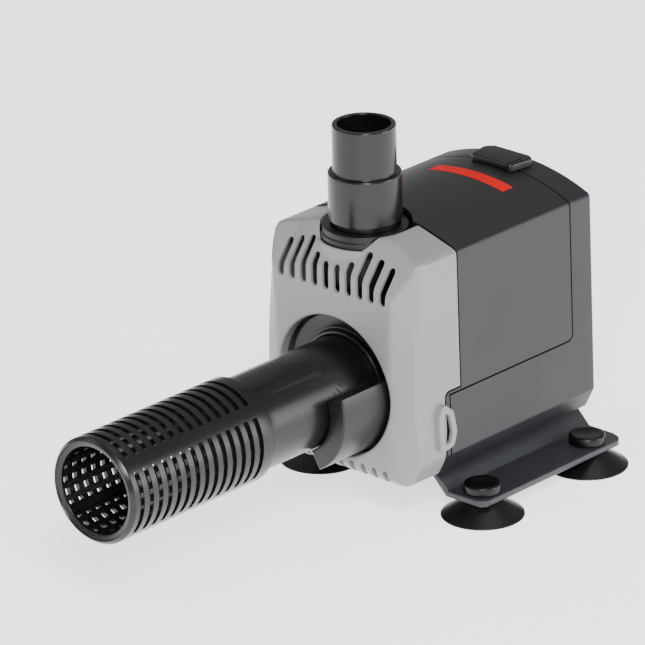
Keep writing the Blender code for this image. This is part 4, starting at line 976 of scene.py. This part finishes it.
# %% Hose nozzle
NOZZLE_STEP = 122.0
NOZZLE_FOOT = 105.0
NOZZLE_UPPER = 11.0
NOZZLE_LOWER = 12.7
NOZZLE_BORE = 9.2
SPIGOT_RADIUS = 11.6
SPIGOT_END = 86.5
GROOVE_LOW = SPIGOT_END + 5.5
GROOVE_HIGH = GROOVE_LOW + 2.4
GROOVE_FLOOR = SPIGOT_RADIUS - 1.3


def hose_nozzle():
    """Profile (radius, height) from the rim down the outside and back up the bore."""
    corners = [(NOZZLE_UPPER, NOZZLE_TOP), (NOZZLE_UPPER, NOZZLE_STEP), (NOZZLE_LOWER, NOZZLE_STEP),
               (NOZZLE_LOWER, NOZZLE_FOOT), (SPIGOT_RADIUS, NOZZLE_FOOT), (SPIGOT_RADIUS, GROOVE_HIGH),
               (GROOVE_FLOOR, GROOVE_HIGH), (GROOVE_FLOOR, GROOVE_LOW), (SPIGOT_RADIUS, GROOVE_LOW),
               (SPIGOT_RADIUS, SPIGOT_END), (NOZZLE_BORE, SPIGOT_END), (NOZZLE_BORE, NOZZLE_TOP)]
    rounds = np.array([0.55, 0.3, 0.8, 0.4, 0.1, 0.15, 0.1, 0.1, 0.15, 0.5, 0.3, 0.4])
    mesh = turned("hose_nozzle", soften(corners, rounds, 5), 160)
    return add_piece("hose_nozzle", mesh, NOZZLE_BLACK)


stand_in(hose_nozzle(), "nozzle", "outlet_nozzle")

# %% Pump chamber with its socket
CHAMBER_RADIUS = 26.0
CHAMBER_FRONT = -8.1
CHAMBER_BACK = 17.0
CHAMBER_WALL = 3.0
INLET_RADIUS = 11.0
INLET_FRONT = -10.5
SOCKET_TOP = 103.0
SOCKET_RIM = 14.85
SOCKET_BORE = 12.05
TUBE_RADIUS = 13.95
TUBE_FOOT = 74.3
BUSH_POCKET = 4.5


def sector_outline(inner, outer, start, sweep, steps=24):
    """Ring sector round the pump's axis, in (x, z); angles go from straight up towards +x."""
    t = start + sweep * np.linspace(0, 1, steps + 1)
    far = np.column_stack([outer * np.sin(t), AXIS + outer * np.cos(t)])
    near = np.column_stack([inner * np.sin(t), AXIS + inner * np.cos(t)])
    return np.vstack([far[::-1], near])


def spoke_outline(near, far, half, angle):
    """Radial bar: the points r (sin a, cos a) +- half (cos a, -sin a)."""
    out = np.array([math.sin(angle), math.cos(angle)])
    side = np.array([math.cos(angle), -math.sin(angle)])
    return np.array([near * out + half * side, far * out + half * side, far * out - half * side,
                     near * out - half * side]) + [0.0, AXIS]


def chamber():
    """Bowl round the impeller, joined to an upright tube; three spokes hold the front bush."""
    inside = CHAMBER_RADIUS - CHAMBER_WALL
    front = CHAMBER_FRONT + CHAMBER_WALL
    rim = INLET_RADIUS + CHAMBER_WALL
    corners = [(rim, INLET_FRONT), (rim, CHAMBER_FRONT), (CHAMBER_RADIUS, CHAMBER_FRONT),
               (CHAMBER_RADIUS, CHAMBER_BACK), (inside, CHAMBER_BACK), (inside, front),
               (INLET_RADIUS, front), (INLET_RADIUS, INLET_FRONT)]
    rounds = np.array([0.4, 0.2, 2.0, 0.2, 0.2, 1.5, 0.4, 0.6])
    bowl = turned("bowl", soften(corners, rounds, 5), 144, 'Y', (0.0, AXIS))
    corners = [(SOCKET_RIM, SOCKET_TOP), (SOCKET_RIM, SOCKET_TOP - 2.2),
               (SOCKET_SKIRT, SOCKET_TOP - 2.4), (SOCKET_SKIRT, SOCKET_TOP - 6.0),
               (TUBE_RADIUS, SOCKET_TOP - 8.0), (TUBE_RADIUS, TUBE_FOOT)]
    outside = soften([(0, SOCKET_TOP)] + corners + [(0, TUBE_FOOT)], 0.45, 5, closed=False)
    tube = turned("tube", outside, 160)
    neck = box_slab("neck", (1 - TUBE_RADIUS, CHAMBER_FRONT + 0.4, 69.5),
                    (TUBE_RADIUS - 1, TUBE_RADIUS - 0.3, 77.5))
    throat = box_slab("throat", (-8.3, front, 62.5), (8.3, NOZZLE_BORE, 78.5))
    duct = turned("duct", [(0, 108), (SOCKET_BORE, 108), (SOCKET_BORE, SPIGOT_END - 0.6),
                           (NOZZLE_BORE, SPIGOT_END - 0.6), (NOZZLE_BORE, 76.0), (0, 76.0)], 128)
    boss = plug(BUSH_POCKET + 1.5, front - 0.2, INLET_FRONT + 0.6, 'Y', (0.0, AXIS), 64)
    spokes = [slab("spoke", spoke_outline(5.0, 12.0, 1.0, math.radians(120 * i - 4)), -7.7, -5.5,
                   0.2, 'Y', 2) for i in range(3)]
    pocket = plug(BUSH_POCKET, -8.3, -0.3, 'Y', (0.0, AXIS), 64)
    mesh = combine("pump_chamber_moulding", bowl, [tube, neck], 'UNION')
    mesh = combine("pump_chamber_moulding", mesh, [throat, duct], 'DIFFERENCE')
    mesh = combine("pump_chamber_moulding", mesh, [boss, merged(spokes)], 'UNION')
    mesh = combine("pump_chamber_moulding", mesh, [pocket], 'DIFFERENCE')
    return add_piece("pump_chamber_moulding", mesh, CHAMBER_BLACK)


stand_in(chamber(), "pump", "pump_chamber")

# %% [markdown]
# ## Intake
#
# The regulator is a dished ring with a raised wing that a finger turns.  The strainer's sleeve sits in
# it.  The strainer is a turned tube with rows of slots between four long bars, and narrow ribs down
# its bore that part each slot into small windows.  The slots are cut in one Boolean from a tool that
# holds all of them, because cutting them one at a time is slow and leaves a long stack of steps.

# %% Regulator
REGULATOR_RADIUS = 24.6
REGULATOR_BACK = -8.7
SEAT_RADIUS = 17.05
WING_FRONT = -39.0
WING_START = math.radians(72)
WING_SWEEP = math.radians(78)


def regulator():
    """Dish with an upright rim and a seat for the sleeve, joined with the finger wing."""
    hub = INLET_RADIUS + CHAMBER_WALL + FIT
    corners = [(REGULATOR_RADIUS, -12.7), (REGULATOR_RADIUS, REGULATOR_BACK), (hub, REGULATOR_BACK),
               (hub, -10.1), (SEAT_RADIUS, -10.1), (SEAT_RADIUS, -13.7), (SEAT_RADIUS + 1.2, -13.7),
               (SEAT_RADIUS + 1.2, -10.9), (REGULATOR_RADIUS - 1.2, -12.7)]
    rounds = np.array([0.4, 0.5, 0.3, 0.2, 0.2, 0.3, 0.4, 0.8, 0.3])
    dish = turned("dish", soften(corners, rounds, 5), 160, 'Y', (0.0, AXIS))
    outline = sector_outline(SEAT_RADIUS + 0.2, REGULATOR_RADIUS - FIT, WING_START, WING_SWEEP, 36)
    outline = soften(outline, CORNER, 1)
    wing = slab("wing", outline, WING_FRONT, -10.5, 0.7, 'Y', 4)
    return add_piece("intake_dish", combine("intake_dish", dish, [wing], 'UNION'), REGULATOR_BLACK)


stand_in(regulator(), "regulator", "intake_regulator")

# %% Strainer
STRAINER_RADIUS = 18.65
STRAINER_BORE = 16.9
SLEEVE_RADIUS = 16.8
SLEEVE_BORE = 14.9
SLEEVE_END = -10.8
STRAINER_SHOULDER = -67.0
SLOT_ROWS = 14
SLOT_PITCH = 4.41
SLOT_WIDTH = 2.0
LAST_SLOT = -73.7
SLOTS_AROUND = 4
BAR_ANGLE = math.radians(15)
BAR_START = math.radians(48.5)
RIBS = 24


def strainer():
    """Turned tube, less all the slots in one cut, joined with the ribs down its bore."""
    mouth, shoulder = STRAINER_MOUTH, STRAINER_SHOULDER
    corners = [(17.55, mouth), (STRAINER_RADIUS, mouth + 1.3), (STRAINER_RADIUS, shoulder),
               (SLEEVE_RADIUS, shoulder), (SLEEVE_RADIUS, SLEEVE_END), (SLEEVE_BORE, SLEEVE_END),
               (SLEEVE_BORE, shoulder - 2.0), (STRAINER_BORE, shoulder - 4.0),
               (STRAINER_BORE, mouth + 3.0), (15.3, mouth + 2.2), (15.3, mouth + 1.0),
               (16.9, mouth + 0.55), (17.1, mouth)]
    rounds = np.array([0.15, 0.6, 0.8, 0.2, 0.3, 0.2, 0.5, 0.5, 0.2, 0.2, 0.3, 0.1, 0.1])
    tube = turned("tube", dense(soften(corners, rounds, 4), 4.0), 144, 'Y', (0.0, AXIS))
    slots = []
    quarter = 2 * math.pi / SLOTS_AROUND
    for row in range(SLOT_ROWS):
        back = LAST_SLOT - row * SLOT_PITCH + SLOT_WIDTH / 2
        for k in range(SLOTS_AROUND):
            start = BAR_START + BAR_ANGLE / 2 + k * 2 * math.pi / SLOTS_AROUND
            outline = sector_outline(15.0, STRAINER_RADIUS + 2.0, start, quarter - BAR_ANGLE, 14)
            slots.append(slab("slot", outline, back - SLOT_WIDTH, back, CORNER, 'Y', 1))
    ribs = [slab("rib", spoke_outline(15.9, 17.1, 1.05, BAR_START + i * 2 * math.pi / RIBS),
                 mouth + 1.8, shoulder - 1.5, 0.15, 'Y', 1) for i in range(RIBS)]
    mesh = combine("strainer_cage", tube, [merged(slots)], 'DIFFERENCE')
    mesh = combine("strainer_cage", mesh, [merged(ribs)], 'UNION')
    return add_piece("strainer_cage", mesh, STRAINER_BLACK)


stand_in(strainer(), "strainer", "suction_strainer")

# %% [markdown]
# A flow scale is printed on the sleeve: a fan of short marks and one long pointer.  Each mark is a thin
# patch bent round the sleeve, with no numbers on it.

# %% Printed flow scale
MARK_INK = moulded("printed_scale", (0.004, 0.004, 0.004), 0.6, 0.05, 0.002, 0.3, edge=0)


SCALE_CENTRE = (38.0, -38.0)                         # degrees round the sleeve, and y
MARK_LIFT = 0.05


def sleeve_patch(corners, steps=8):
    """Four (angle, y) corners, blended bilinearly and bent round the sleeve.

    An angle a in degrees and a radius r give x = r sin a and z = AXIS + r cos a.
    """
    a, b, c, d = np.radians(np.asarray(corners, dtype=float) * [1, 0]) + np.asarray(corners) * [0, 1]
    u = np.linspace(0, 1, steps)[:, None, None]
    v = np.linspace(0, 1, steps)[None, :, None]
    flat = a * (1 - u) * (1 - v) + b * u * (1 - v) + c * u * v + d * (1 - u) * v
    foot, top = [np.stack([r * np.sin(flat[..., 0]), flat[..., 1], AXIS + r * np.cos(flat[..., 0])],
                          axis=-1) for r in (SLEEVE_RADIUS - PRINT_DEPTH, SLEEVE_RADIUS + MARK_LIFT)]
    return thin_sheet("mark", foot, top)


def flow_scale():
    """Short marks on a ring about the scale's centre, a long pointer and a line beside them."""
    per_mm = 57.3 / SLEEVE_RADIUS                    # degrees round the sleeve
    centre = np.array(SCALE_CENTRE)
    marks = []
    for i in range(12):
        turn = math.radians(-66 + 12 * i)
        out = np.array([math.sin(turn) * per_mm, math.cos(turn)])
        side = np.array([math.cos(turn) * per_mm, -math.sin(turn)]) * 0.28
        near, far = centre + out * 9.0, centre + out * 11.6
        marks.append(sleeve_patch([near + side, far + side, far - side, near - side]))
    marks.append(sleeve_patch([(36.6, -60.0), (34.6, -36.0), (41.4, -36.0), (38.0, -60.0)]))
    marks.append(sleeve_patch([(70.4, -46.0), (70.4, -18.0), (72.2, -18.0), (71.6, -46.0)]))
    return add_piece("flow_scale", merged(marks, "flow_scale"), MARK_INK)


scale = flow_scale()
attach(scale, "strainer")
print("flow scale:", len(scale.data.polygons), "faces")

# %% [markdown]
# ## Base
#
# The base plate has level wings for the cups and slopes up to carry the casing.  Its cross-section is
# swept along the pump and cut to its plan.  The cups are turned in rubber, with a button above the
# plate, a neck through it and a thin bell below.

# %% Base plate and cups
PLATE_FRONT = 8.0
PLATE_REAR = 83.8
PLATE_HALF = 45.0
PLATE_CHAMFER = 6.5
PLAN_CLEARANCE = 0.05
WING_TOP = 8.5
WING_THICKNESS = 2.3
WING_INNER = 28.7
CUP_X = 37.7
CUP_PLACES = [(x, y) for x in (CUP_X, -CUP_X) for y in (15.8, 71.5)]
CUP_RADIUS = 14.6
CUP_NECK = 5.0
BUTTON_RADIUS = 6.5
BUTTON_TOP = 12.0


def base_plate():
    """Level wings, slopes of 45 degrees from WING_INNER, and a middle just under the casing.

    The plan only cuts the corners: it clears the straight sides, which keep their own soft edges.
    """
    top = BODY_BOTTOM - FIT
    inner = WING_INNER - (top - WING_TOP)
    shift = WING_THICKNESS * math.tan(math.radians(22.5))
    foot = WING_TOP - WING_THICKNESS
    under = [(-PLATE_HALF, foot), (shift - WING_INNER, foot), (shift - inner, top - WING_THICKNESS),
             (inner - shift, top - WING_THICKNESS), (WING_INNER - shift, foot), (PLATE_HALF, foot)]
    over = [(PLATE_HALF, WING_TOP), (WING_INNER, WING_TOP), (inner, top), (-inner, top),
            (-WING_INNER, WING_TOP), (-PLATE_HALF, WING_TOP)]
    section = soften(under + over, 0.7, 5)
    right = [(PLATE_HALF, PLATE_FRONT), (PLATE_HALF, PLATE_REAR - PLATE_CHAMFER / 3),
             (PLATE_HALF - PLATE_CHAMFER, PLATE_REAR)]
    plan = soften(inward(right + [(-x, y) for x, y in right[::-1]], -PLAN_CLEARANCE), 5.0, 8)
    solid = slab("base", section, PLATE_FRONT, PLATE_REAR, 0.45, 'Y', 3)
    kept = slab("plan", plan, 0.0, 40.0, CORNER, 'Z', 1)
    pockets = merged([plug(BUTTON_RADIUS + 1.8, WING_TOP, 25.0, 'Z', place, 64) for place in CUP_PLACES])
    holes = merged([plug(CUP_NECK + FIT, 0.0, 14.0, 'Z', place, 64) for place in CUP_PLACES])
    mesh = combine("foot_plate", solid, [kept], 'INTERSECT')
    mesh = combine("foot_plate", mesh, [pockets, holes], 'DIFFERENCE')
    return add_piece("foot_plate", mesh, PLATE_GREY)


def rubber_cup(number, place):
    """Profile (radius, height) from the button's middle, out round the bell's lip and in beneath it."""
    under = WING_TOP - WING_THICKNESS - FIT
    above = WING_TOP + FIT
    corners = [(0, BUTTON_TOP - 0.25), (3.9, BUTTON_TOP - 0.25), (4.4, BUTTON_TOP),
               (BUTTON_RADIUS, BUTTON_TOP), (BUTTON_RADIUS, above), (CUP_NECK, above), (CUP_NECK, under),
               (CUP_NECK + 1.4, under), (CUP_NECK + 3.0, under - 1.3), (10.6, 3.0), (13.6, 1.05),
               (CUP_RADIUS, 0.45), (CUP_RADIUS, 0.0), (13.4, 0.0), (CUP_NECK, 2.6), (0, 2.9)]
    rounds = np.array([0.5, 0.3, 0.3, 1.0, 0.5, 0.2, 0.2, 0.6, 1.4, 1.6, 0.8, 0.25, 0.2, 0.8, 2.0, 0.5])
    profile = soften(corners, rounds, 5, closed=False)
    name = "rubber_cup_%d" % number
    return add_piece(name, turned(name, profile, 96, 'Z', place), CUP_RUBBER)


stand_in(base_plate(), "base", "base_plate")
for number, place in enumerate(CUP_PLACES, 1):
    stand_in(rubber_cup(number, place), "cup_%d" % number, "suction_cup_%d" % number)

# %% [markdown]
# ## The motor inside
#
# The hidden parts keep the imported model's solids, whose shapes are right, and get finishes of their
# own.  The core's laminations and the coils' turns are fine bands across the metal, so a wave of bands
# along one axis drives both the bump and a small change of colour.

# %% Finishes for the inner parts
def banded(name, dark, light, roughness, pitch, direction, depth):
    """Metal with straight bands, a pitch apart: one wave moves the colour and the bump together."""
    finish, nodes, links, shader, mapping = new_finish(name)
    set_values(shader, {"Metallic": 0.9, "Roughness": roughness})
    wave = nodes.new("ShaderNodeTexWave")
    wave.bands_direction = direction
    set_values(wave, {"Scale": math.pi / 10 / (pitch * MM), "Distortion": 0.3})
    links.new(mapping.outputs["Vector"], wave.inputs["Vector"])
    blend(nodes, links, wave.outputs["Fac"], dark, light, shader)
    relief(nodes, links, wave.outputs["Fac"], depth, shader)
    return finish


LAMINATION_STEEL = banded("lamination_steel", (0.22, 0.22, 0.23), (0.46, 0.46, 0.48), 0.42, 0.5, 'Y',
                          0.05)
WINDING_COPPER = banded("winding_copper", (0.32, 0.10, 0.03), (0.68, 0.28, 0.11), 0.30, 0.35, 'Z',
                        0.15)
INNER = {
    "nozzle_o_ring": SEAL_RUBBER, "chamber_seal": SEAL_RUBBER, "rotor_can": CHAMBER_BLACK,
    "rotor_shaft": CERAMIC, "front_bush": SEAL_RUBBER, "rear_bush": SEAL_RUBBER,
    "rotor_magnet": FERRITE, "impeller": IMPELLER_WHITE, "stator_core": LAMINATION_STEEL,
    "coil_right": WINDING_COPPER, "coil_left": WINDING_COPPER, "potting_resin": RESIN,
}
for node, finish in INNER.items():
    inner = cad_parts[node]
    if not inner.material_slots:
        inner.data.materials.append(finish)
    for slot in inner.material_slots:
        slot.material = finish
print("inner parts with a finish:", len(INNER))
